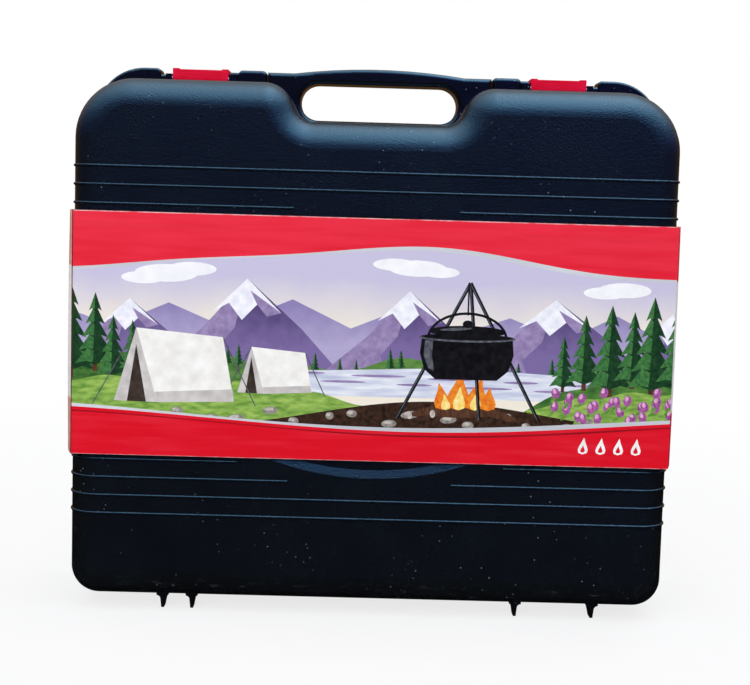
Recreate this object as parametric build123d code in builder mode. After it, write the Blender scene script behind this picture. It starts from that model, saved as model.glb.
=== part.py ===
from build123d import *
import math
import os

os.makedirs("parts", exist_ok=True)

# Case body, outside
CASE_W = 375.0
CASE_D = 105.0
BODY_H = 323.6
FIN_H = 8.0
PARTING_GAP = 0.4
EDGE_R = 17.0
TOP_CORNER_R = 37.0
BOTTOM_CORNER_LAND = 1.0

# Top edge of the case, measured from its middle as shares of its half width
DIP_BOTTOM_SHARE = 47.7 / 187.5
HOLE_SHARE = 50.0 / 187.5
DIP_TOP_SHARE = 59.3 / 187.5
CROWN_SHARE = 54.0 / 187.5
HANDLE_SHARE = 71.0 / 187.5
BLOCK_START_SHARE = 71.5 / 187.5
BLOCK_END_SHARE = 90.0 / 187.5
LATCH_SHARE = 113.5 / 187.5
LATCH_HALF_SHARE = 17.5 / 187.5
RIM_START_SHARE = 139.0 / 187.5

# Dip in the body round the handle
DIP_DEPTH = 23.4
DIP_TOP_LAND = 3.0
DIP_BOTTOM_R = 12.0

# Handle and its finger hole
HANDLE_T = 13.0
HANDLE_RISE = 8.0
HANDLE_ARCH = 3.8
HANDLE_ROOT = 5.0
HANDLE_EDGE_R = 2.5
HOLE_H = 23.2
HOLE_LIFT = 2.1
HOLE_R = 11.5

# Rim along the top: corner rims, latch shelves, stop blocks
RIM_T = 8.5
RIM_RISE = 9.1
RIM_CORNER_R = 31.0
RIM_END_R = 3.0
RIM_SIDE_IN = 7.3
RIM_DROP = 40.0
SHELF_RISE = 5.2
SHELF_ROOT = 4.0
BLOCK_T = 11.0
BLOCK_RISE = 9.0
STEP_GAP = 1.0
STEP_RISE = 7.6
RIM_EDGE_R = 1.5
BLOCK_CORNER_R = 3.0
BLOCK_EDGE_R = 2.0

# Case walls: double side walls round a sealed hollow, single panels
WALL = 10.0
PANEL = 3.6
SKIN = 1.6
CAVITY_R = 4.0
VOID_LAP = 2.0

# Ribs and oval recess on the panels
RIB_R = 0.9
RIB_FIRST = 73.4
RIB_PITCH = 11.4
RIB_COUNT = 4
RIB_END = 6.0
RIB_GAP_SHARE = 140.6 / 187.5
RIB_GAP_B = 91.0
OVAL_SHARE = 125.5 / 187.5
OVAL_B = 81.6
OVAL_SLOPE = 5.0
OVAL_DEPTH = 1.5

# Case hinge under the case
HINGE_SHARE = 119.5 / 187.5
LUG_NEAR = 9.2
LUG_FAR = 24.5
LUG_T = 2.6
LUG_TIP_W = 1.8
LUG_FLARE_R = 2.4
LUG_FLARE_LAP = 0.3
LUG_FOOT = 9.0
LUG_ARCH = 5.0
LUG_EYE = 7.0
LUG_R = 3.5
LUG_FACE_GAP = 10.5
LUG_SLANT = 3.0
LUG_ROOT = 4.0
HINGE_PIN_R = 2.0
PIN_OVERRUN = 1.0
RUN_CLEAR = 0.08

# Latches
LATCH_T = 2.0
LATCH_RISE = 8.3
LATCH_AXIS_OUT = 3.0
LATCH_AXIS_RISE = 2.8
LATCH_BARREL_R = 2.3
LATCH_PIN_R = 1.2
LATCH_LIP = 1.5
LATCH_LIP_GAP = 0.5
LATCH_EAR_RISE = 0.6
LATCH_EAR_W = 4.0
LATCH_GROOVES = 3
LATCH_GROOVE_W = 0.7
LATCH_GROOVE_D = 0.3
LATCH_GROOVE_PITCH = 1.7
EAR_GAP = 0.5
EAR_T = 4.0
EAR_ROOT = 2.0
EAR_TOP = 2.6

# Card sleeve
CARD_T = 0.5
SLEEVE_Z = 99.5
SLEEVE_H = 150.5
SLEEVE_GAP = 0.4
SLEEVE_FOLD_IN = 3.6
SLEEVE_FOLD_BACK = 14.0
SLEEVE_SEAM = 0.6

# Stove seat in the base
SEAT_GAP = 0.2
STOVE_SIDE_GAP = 10.0
STOVE_REAR_GAP = 0.3
STOVE_FRONT_ROOM = 17.9
LID_ROOM = 11.6
CRADLE_RIB_T = 16.0
CRADLE_RIB_TOP = 14.0
CRADLE_RIB_INSET = 62.0

# Stove body
FOOT_H = 9.0
FOOT_R = 8.0
FOOT_INSET = 28.0
CHASSIS_R = 14.0
CHASSIS_FLOOR_R = 6.0
SHEET = 1.0
PLATE_H = 6.0
PLATE_EDGE_R = 3.0
PLATE_CORNER_R = 4.0
PLATE_INNER_R = 0.8
STRIP_CORNER_R = 7.0
PLATE_SEAM = 0.5
REAR_STRIP = 11.5
BAY_W = 96.0

# Drip pan and pan support
PAN_MARGIN = 20.5
PAN_OPEN_R = 20.0
PAN_CLEAR = 0.5
PAN_RIM = 4.0
PAN_TUBE_GAP = 5.0
PAN_SLOPE = 4.5
PAN_HOLE_R = 50.0
SUPPORT_OVERLAP = 5.0
SUPPORT_LAP = 1.0
SUPPORT_T = 1.6
SUPPORT_DROP_SHARE = 2 / 3
SUPPORT_CORNER_R = 24.0
SUPPORT_INNER_R = 52.0
SUPPORT_WALL_GAP = 7.0
SUPPORT_NOTCHES = 4
SUPPORT_NOTCH_SHARE = 0.33
SUPPORT_NOTCH_D = 2.4

# Burner
CUP_FLOOR = 15.0
CUP_H = 28.0
CUP_R = 33.0
CUP_FOOT_R = 22.0
CUP_WALL = 3.0
TUBE_R = 9.0
TUBE_WALL = 2.0
TUBE_BAY_GAP = 41.5
TUBE_AXIS = 9.5
BELL_R = 12.5
BELL_L = 10.0
HEAD_R = 40.0
HEAD_H = 14.0
HEAD_WALL = 3.5
HEAD_SPIGOT = 6.0
HEAD_GAP = 0.3
HEAD_DISH = 7.0
FLAME_SLOTS = 40
FLAME_SLOT_W = 1.6
FLAME_SLOT_LIFT = 2.0
FLAME_SLOT_H = 5.0
STAND_W = 64.0
STAND_D = 22.0
STAND_T = 1.5
STAND_TOP_W = 40.0
SCREW_R = 1.8
SCREW_HEAD_R = 3.4
SCREW_HEAD_H = 1.8
SCREW_CLEAR = 0.1

# Jet and gas pipe
JET_R = 5.0
JET_L = 12.0
JET_NOSE_R = 2.5
JET_NOSE_L = 7.0
JET_GAP = 1.0
JET_BRACKET_T = 1.5
JET_BRACKET_W = 22.0
JET_BRACKET_TOP = 8.0
JET_BRACKET_FOOT = 14.0
PIPE_R = 3.0
PIPE_BEND_R = 9.0
PIPE_RUN = 14.0
PIPE_AXIS = 18.0

# Regulator and valve
REG_W = 44.0
REG_D = 27.0
REG_H = 34.0
REG_LIFT = 12.0
REG_PANEL_GAP = 10.0
REG_EDGE_R = 3.0
REG_FOOT_W = 30.0
REG_FOOT_D = 18.0
SOCKET_R = 13.0
SOCKET_L = 10.0
SOCKET_BORE_R = 6.0
SOCKET_BORE_L = 16.0
SOCKET_AXIS = 39.0
SEAL_L = 4.0
SEAL_HOLE_R = 3.0
SEAL_CLEAR = 0.1
OUTLET_R = 5.0
OUTLET_L = 8.0
CAP_R = 12.5
CAP_H = 8.0
CAP_EDGE_R = 2.0
SPINDLE_R = 3.0
SPINDLE_IN = 12.0
SPINDLE_OUT = 11.0
SPINDLE_GAP = 0.6
KNOB_OFFSET = 8.0
KNOB_AXIS_SHARE = 31.0 / 61.0
CAM_R = 6.0
CAM_LIFT = 4.0
CAM_SWEEP = 100.0
CAM_T = 4.0
CAM_GAP = 1.2
CAM_STEPS = 10
CAM_TIP_GAP = 0.5
PANEL_HOLE_R = 7.0

# Dial plate, knob and lever
DIAL_T = 3.5
DIAL_MARGIN = 5.5
DIAL_LOW = 5.0
DIAL_HIGH = 5.0
DIAL_R = 6.0
DIAL_SCREW_INSET = 6.0
DIAL_SCREW_L = 6.0
KNOB_R = 22.0
KNOB_FLANGE_T = 4.0
KNOB_GRIP_R = 15.0
KNOB_H = 15.0
KNOB_GAP = 0.6
KNOB_BAR_W = 9.0
KNOB_BAR_CUT = 6.0
KNOB_EDGE_R = 1.0
KNOB_FIT = 0.05
LEVER_INSET = 12.5
LEVER_T = 4.0
LEVER_H = 12.0
LEVER_AXIS_SHARE = 43.0 / 61.0
LEVER_TRAVEL = 14.0
LEVER_BACK = 24.0
LEVER_TAB_W = 13.0
LEVER_TAB_H = 15.0
LEVER_TAB_L = 11.0
LEVER_TAB_R = 2.0
LEVER_CLEAR = 0.6
LEVER_PIN_R = 2.0
LEVER_PIN_L = 5.0
LEVER_PIN_BACK = 18.0

# Cartridge bay
SLIDE_T = 2.0
SLIDE_GAP = 1.0
SLIDE_TRAVEL = 8.0
SLIDE_L = 58.0
SLIDE_FRONT = 11.0
SLIDE_EDGE = 3.5
SLIDE_HOOK_W = 10.0
SLIDE_HOOK_H = 18.0
PIN_SLOT_CLEAR = 0.35
CARTRIDGE_R = 34.0
SADDLE_CLEAR = 1.0
SADDLE_T = 1.2
SADDLE_HALF_ANGLE = 50.0
SADDLE_REAR = 27.0
SADDLE_L = 177.0
SADDLE_LEG_W = 30.0
SADDLE_LEG_L = 14.0
SADDLE_LEG_INSET = 22.0
SHIELD_GAP = 0.5
SHIELD_HOLE_CLEAR = 1.0
VENT_COUNT = 7
VENT_W = 16.0
VENT_H = 6.0
VENT_PITCH = 22.0
VENT_AXIS = 44.0
VENT_START = 50.0

# Cartridge cover and its hinge
COVER_H = 16.0
COVER_GAP = 0.6
COVER_SIDE_R = 13.0
COVER_EDGE_R = 4.0
PEEP_L = 44.0
PEEP_W = 13.0
COVER_AXIS_OUT = 2.4
COVER_AXIS_DROP = 4.0
COVER_BARREL_R = 2.0
CHASSIS_BARREL_R = 2.7
BARREL_L = 12.0
BARREL_GAP = 0.4
BARREL_INSET = 24.0
COVER_PIN_R = 1.1
COVER_TAB_RISE = 10.0

# Igniter
IGNITER_W = 14.0
IGNITER_D = 24.0
IGNITER_H = 16.0
IGNITER_GAP = 4.5
IGNITER_FRONT = 3.3
IGNITER_LEG = 3.0
PLUNGER_R = 2.4
PLUNGER_IN = 6.0
PLUNGER_ROOM = 5.5
ELECTRODE_R_AT = 45.0
ELECTRODE_ANGLE = 110.0
CERAMIC_R = 2.6
CERAMIC_L = 22.0
CERAMIC_DROP = 14.0
ELECTRODE_WIRE_R = 0.8
ELECTRODE_RISE = 6.0
ELECTRODE_REACH = 3.5
ELECTRODE_BEND_R = 2.0
ARM_W = 9.0
ARM_T = 3.0
LEAD_R = 1.2
LEAD_BEND_R = 6.0
LEAD_FLOOR_GAP = 0.4
LEAD_RUN_BACK = 15.0

# Case values worked out from the sizes above
HALF_W = CASE_W / 2
PART_Y = PARTING_GAP / 2
FACE_Y = CASE_D / 2
BOTTOM_CORNER_R = EDGE_R + BOTTOM_CORNER_LAND
DIP_TOP_R = EDGE_R + DIP_TOP_LAND
VOID_STOP = EDGE_R - VOID_LAP
DIP_TOP_HALF = DIP_TOP_SHARE * HALF_W
DIP_BOTTOM_HALF = DIP_BOTTOM_SHARE * HALF_W
HANDLE_HALF = HANDLE_SHARE * HALF_W
CROWN_HALF = CROWN_SHARE * HALF_W
HOLE_W = 2 * HOLE_SHARE * HALF_W
RIM_START = RIM_START_SHARE * HALF_W
BLOCK_START = BLOCK_START_SHARE * HALF_W
BLOCK_END = BLOCK_END_SHARE * HALF_W
LATCH_X = LATCH_SHARE * HALF_W
LATCH_W = 2 * LATCH_HALF_SHARE * HALF_W
STEP_W = LATCH_X - LATCH_W / 2 - STEP_GAP - BLOCK_END
HINGE_X = HINGE_SHARE * HALF_W
LUG_REACH = FACE_Y - LUG_FACE_GAP
RIB_GAP_A = RIB_GAP_SHARE * HALF_W
OVAL_A = OVAL_SHARE * HALF_W
BODY_Z0 = FIN_H
BODY_Z1 = FIN_H + BODY_H
BODY_MID_Z = (BODY_Z0 + BODY_Z1) / 2
DIP_Z = BODY_Z1 - DIP_DEPTH
HINGE_Z = LUG_R
HOLE_Z = DIP_Z + HOLE_LIFT + HOLE_H / 2
LATCH_Y = -(RIM_T + LATCH_AXIS_OUT)
LATCH_Z = BODY_Z1 + LATCH_AXIS_RISE
SLEEVE_HALF_W = HALF_W + RIB_R + SLEEVE_GAP
SLEEVE_FACE_Y = FACE_Y + RIB_R + SLEEVE_GAP

# Stove values: w is the height above the stove's feet, which point to the back of the case
STOVE_Y = FACE_Y - PANEL - SEAT_GAP
STOVE_W = 2 * (HALF_W - WALL - STOVE_SIDE_GAP)
STOVE_X0 = -STOVE_W / 2
STOVE_X1 = STOVE_W / 2
STOVE_Z0 = BODY_Z0 + WALL + STOVE_REAR_GAP
STOVE_Z1 = DIP_Z - WALL - STOVE_FRONT_ROOM
STOVE_D = STOVE_Z1 - STOVE_Z0
STOVE_MID_Z = (STOVE_Z0 + STOVE_Z1) / 2
CHASSIS_H = CASE_D - 2 * PANEL - SEAT_GAP - FOOT_H - COVER_H - LID_ROOM
W_BASE = FOOT_H
W_FLOOR = FOOT_H + SHEET
W_RIM = FOOT_H + CHASSIS_H
W_PLATE = W_RIM + PLATE_H
BAY_X = STOVE_X0 + BAY_W
BAY_MID_X = STOVE_X0 + BAY_W / 2
BURNER_X = (BAY_X + STOVE_X1) / 2
BURNER_Z = STOVE_MID_Z
PAN_OPEN = min(STOVE_X1 - BAY_X, STOVE_D) - 2 * PAN_MARGIN
W_CUP = W_FLOOR + CUP_FLOOR
W_TUBE = W_CUP + TUBE_AXIS
W_HEAD = W_CUP + CUP_H
W_PAN_FLOOR = W_TUBE + BELL_R + PAN_TUBE_GAP
SUPPORT_DROP = SUPPORT_DROP_SHARE * (W_PLATE - W_PAN_FLOOR)
TUBE_L = BURNER_X - BAY_X - TUBE_BAY_GAP
TUBE_END_X = BURNER_X - TUBE_L
REG_Z1 = STOVE_Z1 - SHEET - REG_PANEL_GAP
REG_Z0 = REG_Z1 - REG_D
REG_MID_Z = (REG_Z0 + REG_Z1) / 2
W_REG = W_FLOOR + REG_LIFT
W_SOCKET = W_FLOOR + SOCKET_AXIS
W_PIPE = W_FLOOR + PIPE_AXIS
KNOB_X = BAY_MID_X - KNOB_OFFSET
W_KNOB = W_FLOOR + KNOB_AXIS_SHARE * CHASSIS_H
PANEL_Z = STOVE_Z1 + DIAL_T
LEVER_X = BAY_X - LEVER_INSET
W_LEVER = W_FLOOR + LEVER_AXIS_SHARE * CHASSIS_H
LEVER_PIN_Z = STOVE_Z1 - LEVER_PIN_BACK
SLIDE_X = LEVER_X + LEVER_T / 2 + SLIDE_GAP
SLIDE_Z1 = STOVE_Z1 - SLIDE_FRONT
SLIDE_Z0 = SLIDE_Z1 - SLIDE_L
SADDLE_Z0 = STOVE_Z0 + SADDLE_REAR
COVER_Z0 = STOVE_Z0 + REAR_STRIP + COVER_GAP
COVER_Z1 = STOVE_Z1 - COVER_GAP
W_COVER = W_RIM + COVER_H
COVER_AXIS_X = STOVE_X0 - COVER_AXIS_OUT
W_COVER_AXIS = W_RIM - COVER_AXIS_DROP
CAM_Z0 = REG_Z1 + CAM_GAP
CAM_MID_Z = CAM_Z0 + CAM_T / 2
IGNITER_X1 = BAY_MID_X - REG_W / 2 - IGNITER_GAP
IGNITER_X0 = IGNITER_X1 - IGNITER_W
IGNITER_Z1 = STOVE_Z1 - SHEET - IGNITER_FRONT
IGNITER_Z0 = IGNITER_Z1 - IGNITER_D
ELECTRODE_X = BURNER_X + ELECTRODE_R_AT * math.cos(math.radians(ELECTRODE_ANGLE))
ELECTRODE_Z = BURNER_Z + ELECTRODE_R_AT * math.sin(math.radians(ELECTRODE_ANGLE))
W_CERAMIC = W_HEAD - CERAMIC_DROP
W_LEAD = W_FLOOR + LEAD_R + LEAD_FLOOR_GAP
LEAD_Z = IGNITER_Z0 - LEAD_RUN_BACK
LEAD_X = (IGNITER_X0 + IGNITER_X1) / 2


def front(y):
    """Sketch plane at depth y that faces the front of the case."""
    return Plane.XZ.offset(-y)


def up(w):
    """Depth y of a level w above the stove's feet."""
    return STOVE_Y - w


def body_outline(inset, y):
    """Front view of the case body with its handle dip, moved in by inset, at depth y."""
    corners = [
        (-HALF_W, BODY_Z0),
        (HALF_W, BODY_Z0),
        (HALF_W, BODY_Z1),
        (DIP_TOP_HALF, BODY_Z1),
        (DIP_BOTTOM_HALF, DIP_Z),
        (-DIP_BOTTOM_HALF, DIP_Z),
        (-DIP_TOP_HALF, BODY_Z1),
        (-HALF_W, BODY_Z1),
    ]
    radii = [BOTTOM_CORNER_R, BOTTOM_CORNER_R, TOP_CORNER_R, DIP_TOP_R]
    radii = radii + [DIP_BOTTOM_R, DIP_BOTTOM_R, DIP_TOP_R, TOP_CORNER_R]
    with BuildSketch(front(y)) as outline:
        with BuildLine():
            FilletPolyline(*corners, radius=radii, close=True)
        make_face()
        if inset > 0:
            offset(amount=-inset)
    return outline.sketch


def handle_plate():
    """Front half of the handle with its finger hole."""
    z_end = BODY_Z1 + HANDLE_RISE
    with BuildPart() as plate:
        with BuildSketch(front(-PART_Y)):
            with BuildLine():
                Polyline(
                    (-CROWN_HALF, z_end),
                    (-HANDLE_HALF, z_end),
                    (-HANDLE_HALF, DIP_Z - HANDLE_ROOT),
                    (HANDLE_HALF, DIP_Z - HANDLE_ROOT),
                    (HANDLE_HALF, z_end),
                    (CROWN_HALF, z_end),
                )
                ThreePointArc((CROWN_HALF, z_end), (0, z_end + HANDLE_ARCH), (-CROWN_HALF, z_end))
            make_face()
            with Locations((0, HOLE_Z)):
                RectangleRounded(HOLE_W, HOLE_H, HOLE_R, mode=Mode.SUBTRACT)
        extrude(amount=HANDLE_T - PART_Y)
        fillet(plate.faces().sort_by(Axis.Y)[0].edges(), radius=HANDLE_EDGE_R)
    return plate.part


def rim_piece(x0, x1, z0, z1, inner_r, outer_r, thick, edge_r):
    """One stretch of the rim on both sides, its top corners rounded by inner_r and outer_r."""
    with BuildPart() as piece:
        with BuildSketch(front(-PART_Y)):
            with BuildLine():
                FilletPolyline((x0, z0), (x1, z0), (x1, z1), (x0, z1), radius=[0, 0, outer_r, inner_r], close=True)
            make_face()
        extrude(amount=thick - PART_Y)
        edges = piece.faces().sort_by(Axis.Y)[0].edges().sort_by(Axis.Z)
        fillet(edges[1:] if inner_r > 0 else edges[-1], radius=edge_r)
        mirror(about=Plane.YZ)
    return piece.part


def wall_void():
    """Sealed hollow inside the double side walls."""
    depth = FACE_Y - VOID_STOP - PART_Y - SKIN
    with BuildPart() as void:
        extrude(to_extrude=body_outline(SKIN, -PART_Y - SKIN), amount=depth)
        extrude(to_extrude=body_outline(WALL - SKIN, -PART_Y - SKIN), amount=depth, mode=Mode.SUBTRACT)
    return void.part


def cavity():
    """Space for the stove in one half."""
    with BuildPart() as space:
        extrude(to_extrude=body_outline(WALL, 0), amount=FACE_Y - PANEL)
        fillet(space.faces().sort_by(Axis.Y)[0].edges(), radius=CAVITY_R)
    return space.part


def oval_recess():
    """Sunk oval in the middle of the panel, with a sloped edge."""
    over = OVAL_DEPTH / 2
    grow = OVAL_SLOPE * over / OVAL_DEPTH
    with BuildPart() as recess:
        with BuildSketch(front(-FACE_Y - over)):
            with Locations((0, BODY_MID_Z)):
                Ellipse(OVAL_A + grow, OVAL_B + grow)
        with BuildSketch(front(-FACE_Y + OVAL_DEPTH)):
            with Locations((0, BODY_MID_Z)):
                Ellipse(OVAL_A - OVAL_SLOPE, OVAL_B - OVAL_SLOPE)
        loft()
    return recess.part


def rib_levels():
    """Heights of the ribs with the half width of the break in each, zero for an unbroken one."""
    levels = []
    for index in range(RIB_COUNT):
        away = RIB_FIRST + RIB_PITCH * index
        gap = 0.0
        if away < RIB_GAP_B:
            gap = RIB_GAP_A * math.sqrt(1 - (away / RIB_GAP_B) ** 2)
        levels.append((BODY_MID_Z + away, gap))
        levels.append((BODY_MID_Z - away, gap))
    return levels


def rib(z, gap):
    """Half-round rib on the panel, round both edges and along the sides."""
    with BuildPart() as bead:
        with BuildLine(Plane.XY.offset(z)) as path:
            if gap > 0:
                FilletPolyline((-HALF_W, -RIB_END), (-HALF_W, -FACE_Y), (-gap, -FACE_Y), radius=EDGE_R)
            else:
                FilletPolyline(
                    (-HALF_W, -RIB_END), (-HALF_W, -FACE_Y), (HALF_W, -FACE_Y), (HALF_W, -RIB_END), radius=EDGE_R
                )
        with BuildSketch(Plane(origin=(-HALF_W, -RIB_END, z), x_dir=(1, 0, 0), z_dir=(0, -1, 0))):
            Circle(RIB_R)
        sweep(path=path.line)
        if gap > 0:
            mirror(about=Plane.YZ)
    return bead.part


def hinge_lug(x):
    """Fin under one half: a foot near the front, an arch, and an eye for the hinge pin; its root flares."""
    root_z = BODY_Z0 + LUG_ROOT
    flare_top = BODY_Z0 + LUG_FLARE_LAP
    flare_z = flare_top - LUG_FLARE_R
    root_half = LUG_T / 2 + LUG_FLARE_R
    foot_y = -LUG_REACH + LUG_FOOT
    bend = LUG_FLARE_R * (1 - math.sqrt(0.5))
    with BuildPart() as lug:
        with BuildSketch(Plane.YZ.offset(x - root_half)):
            with BuildLine():
                Polyline(
                    (foot_y, 0),
                    (-LUG_REACH, 0),
                    (-LUG_REACH - LUG_SLANT, root_z),
                    (-PARTING_GAP, root_z),
                    (0, HINGE_Z),
                    (0, 0),
                    (-LUG_EYE, 0),
                )
                ThreePointArc((-LUG_EYE, 0), ((foot_y - LUG_EYE) / 2, LUG_ARCH), (foot_y, 0))
            make_face()
            with Locations((0, HINGE_Z)):
                Circle(LUG_R)
                Circle(HINGE_PIN_R + RUN_CLEAR, mode=Mode.SUBTRACT)
        extrude(amount=2 * root_half)
        with BuildSketch(front(LUG_R)):
            with BuildLine():
                Line((x - LUG_TIP_W / 2, 0), (x + LUG_TIP_W / 2, 0))
                Line((x + LUG_TIP_W / 2, 0), (x + LUG_T / 2, flare_z))
                ThreePointArc(
                    (x + LUG_T / 2, flare_z), (x + LUG_T / 2 + bend, flare_top - bend), (x + root_half, flare_top)
                )
                Polyline(
                    (x + root_half, flare_top),
                    (x + root_half, root_z),
                    (x - root_half, root_z),
                    (x - root_half, flare_top),
                )
                ThreePointArc(
                    (x - root_half, flare_top), (x - LUG_T / 2 - bend, flare_top - bend), (x - LUG_T / 2, flare_z)
                )
                Line((x - LUG_T / 2, flare_z), (x - LUG_TIP_W / 2, 0))
            make_face()
        extrude(amount=LUG_R + LUG_REACH + LUG_SLANT, mode=Mode.INTERSECT)
    return lug.part


def hinge_lugs():
    """Fins under one half that carry the hinge pins: near pair on the left, far pair on the right."""
    with BuildPart() as lugs:
        for x in (-HINGE_X - LUG_NEAR, -HINGE_X + LUG_NEAR, HINGE_X - LUG_FAR, HINGE_X + LUG_FAR):
            add(hinge_lug(x))
    return lugs.part


def case_half():
    """Front half of the case. The rear half is the same moulding turned round."""
    with BuildPart() as half:
        extrude(to_extrude=body_outline(0, -PART_Y), amount=FACE_Y - PART_Y)
        fillet(half.faces().sort_by(Axis.Y)[0].edges(), radius=EDGE_R)
        add(handle_plate())
        rim_x1 = HALF_W - RIM_SIDE_IN
        rim_z1 = BODY_Z1 + RIM_RISE
        add(rim_piece(RIM_START, rim_x1, BODY_Z1 - RIM_DROP, rim_z1, RIM_END_R, RIM_CORNER_R, RIM_T, RIM_EDGE_R))
        root_z = BODY_Z1 - SHELF_ROOT
        block_z1 = BODY_Z1 + BLOCK_RISE
        block_r = BLOCK_CORNER_R
        add(rim_piece(BLOCK_END, RIM_START, root_z, BODY_Z1 + SHELF_RISE, 0, 0, RIM_T, RIM_EDGE_R))
        add(rim_piece(BLOCK_START, BLOCK_END, root_z, block_z1, block_r, block_r, BLOCK_T, BLOCK_EDGE_R))
        add(rim_piece(BLOCK_END, BLOCK_END + STEP_W, root_z, BODY_Z1 + STEP_RISE, 0, 0, RIM_T, RIM_EDGE_R))
        add(hinge_lugs())
        add(cavity(), mode=Mode.SUBTRACT)
        add(wall_void(), mode=Mode.SUBTRACT)
        add(oval_recess(), mode=Mode.SUBTRACT)
        for z, gap in rib_levels():
            add(rib(z, gap))
    return half.part


# Front half of the case, with the ears that hold the latch pins
with BuildPart() as case_lid:
    add(case_half())
    for side in (-1, 1):
        for end in (-1, 1):
            ear_mid = side * LATCH_X + end * (LATCH_W / 2 + EAR_GAP + EAR_T / 2)
            with BuildSketch(Plane.YZ.offset(ear_mid - EAR_T / 2)):
                with Locations((LATCH_Y - LATCH_BARREL_R, BODY_Z1 - EAR_ROOT)):
                    Rectangle(
                        -LATCH_Y + LATCH_BARREL_R - PART_Y,
                        LATCH_Z + EAR_TOP - BODY_Z1 + EAR_ROOT,
                        align=(Align.MIN, Align.MIN),
                    )
                with Locations((LATCH_Y, LATCH_Z)):
                    Circle(LATCH_PIN_R + RUN_CLEAR, mode=Mode.SUBTRACT)
            extrude(amount=EAR_T)
case_lid.part.label = "case_lid"
export_step(case_lid.part, "parts/case_lid.step")

# Rear half of the case, with the ribs that keep the stove in place
with BuildPart() as case_base:
    add(case_half().rotate(Axis.Z, 180))
    with BuildSketch(front(FACE_Y - PANEL)):
        for side in (-1, 1):
            for z in (STOVE_Z0 + CRADLE_RIB_INSET, STOVE_Z1 - CRADLE_RIB_INSET):
                with Locations((side * (HALF_W - WALL - (STOVE_SIDE_GAP - SEAT_GAP) / 2), z)):
                    Rectangle(STOVE_SIDE_GAP - SEAT_GAP, CRADLE_RIB_T)
    extrude(amount=FACE_Y - PANEL - CRADLE_RIB_TOP)
    with BuildSketch(front(FACE_Y - PANEL)):
        with Locations((0, DIP_Z - WALL - (STOVE_FRONT_ROOM - SEAT_GAP) / 2)):
            Rectangle(CRADLE_RIB_T, STOVE_FRONT_ROOM - SEAT_GAP)
    extrude(amount=FACE_Y - PANEL - CRADLE_RIB_TOP)
case_base.part.label = "case_base"
export_step(case_base.part, "parts/case_base.step")

# Two pins through the hinge lugs
with BuildPart() as hinge_pins:
    pin_l = 2 * LUG_FAR + LUG_T + 2 * PIN_OVERRUN
    for side in (-1, 1):
        with BuildSketch(Plane.YZ.offset(side * HINGE_X - pin_l / 2)):
            with Locations((0, HINGE_Z)):
                Circle(HINGE_PIN_R)
        extrude(amount=pin_l)
hinge_pins.part.label = "hinge_pins"
export_step(hinge_pins.part, "parts/hinge_pins.step")


def latch(x):
    """Snap latch centred on x: barrel, front lip, top plate and rear lip."""
    top = BODY_Z1 + LATCH_RISE
    front_y = LATCH_Y - LATCH_BARREL_R
    back_y = RIM_T + LATCH_LIP_GAP + LATCH_LIP
    lip_z = BODY_Z1 + SHELF_RISE + LATCH_LIP_GAP
    with BuildPart() as clip:
        with BuildSketch(Plane.YZ.offset(x - LATCH_W / 2)):
            with BuildLine():
                Polyline(
                    (front_y, LATCH_Z),
                    (front_y, top),
                    (back_y, top),
                    (back_y, lip_z),
                    (back_y - LATCH_LIP, lip_z),
                    (back_y - LATCH_LIP, top - LATCH_T),
                    (front_y + LATCH_T, top - LATCH_T),
                    (front_y + LATCH_T, LATCH_Z),
                    close=True,
                )
            make_face()
            with Locations((LATCH_Y, LATCH_Z)):
                Circle(LATCH_BARREL_R)
                Circle(LATCH_PIN_R + RUN_CLEAR, mode=Mode.SUBTRACT)
        extrude(amount=LATCH_W)
        for end in (-1, 1):
            with BuildSketch(Plane.XY.offset(top)):
                with Locations((x + end * (LATCH_W - LATCH_EAR_W) / 2, (front_y + back_y) / 2)):
                    Rectangle(LATCH_EAR_W, back_y - front_y)
            extrude(amount=LATCH_EAR_RISE)
        for index in range(LATCH_GROOVES):
            with BuildSketch(front(front_y)):
                with Locations((x, top - LATCH_GROOVE_PITCH * (index + 1))):
                    Rectangle(LATCH_W - 2 * LATCH_EAR_W, LATCH_GROOVE_W)
            extrude(amount=-LATCH_GROOVE_D, mode=Mode.SUBTRACT)
    return clip.part


# Left and right latch
with BuildPart() as latch_left:
    add(latch(-LATCH_X))
latch_left.part.label = "latch_left"
export_step(latch_left.part, "parts/latch_left.step")

with BuildPart() as latch_right:
    add(latch(LATCH_X))
latch_right.part.label = "latch_right"
export_step(latch_right.part, "parts/latch_right.step")

# Pins that the latches turn on
with BuildPart() as latch_pins:
    pin_l = LATCH_W + 2 * (EAR_GAP + EAR_T)
    for side in (-1, 1):
        with BuildSketch(Plane.YZ.offset(side * LATCH_X - pin_l / 2)):
            with Locations((LATCH_Y, LATCH_Z)):
                Circle(LATCH_PIN_R)
        extrude(amount=pin_l)
latch_pins.part.label = "latch_pins"
export_step(latch_pins.part, "parts/latch_pins.step")


def sleeve_ring(grow):
    """Plan of half the sleeve down to the seam, as corner points, with the card grown outwards."""
    side_x = SLEEVE_HALF_W + grow
    face_y = SLEEVE_FACE_Y + grow
    fold_x = side_x - SLEEVE_FOLD_IN
    fold_y = face_y - SLEEVE_FOLD_BACK
    return [
        (-side_x, -SLEEVE_SEAM / 2),
        (-side_x, -fold_y),
        (-fold_x, -face_y),
        (fold_x, -face_y),
        (side_x, -fold_y),
        (side_x, -SLEEVE_SEAM / 2),
    ]


def sleeve_half():
    """Front half of the card sleeve."""
    with BuildPart() as half:
        with BuildSketch(Plane.XY.offset(SLEEVE_Z)):
            with BuildLine():
                Polyline(*sleeve_ring(CARD_T), *reversed(sleeve_ring(0)), close=True)
            make_face()
        extrude(amount=SLEEVE_H)
    return half.part


# Card sleeve, front half on the lid and back half on the base
with BuildPart() as sleeve_front:
    add(sleeve_half())
sleeve_front.part.label = "sleeve_front"
export_step(sleeve_front.part, "parts/sleeve_front.step")

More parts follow.
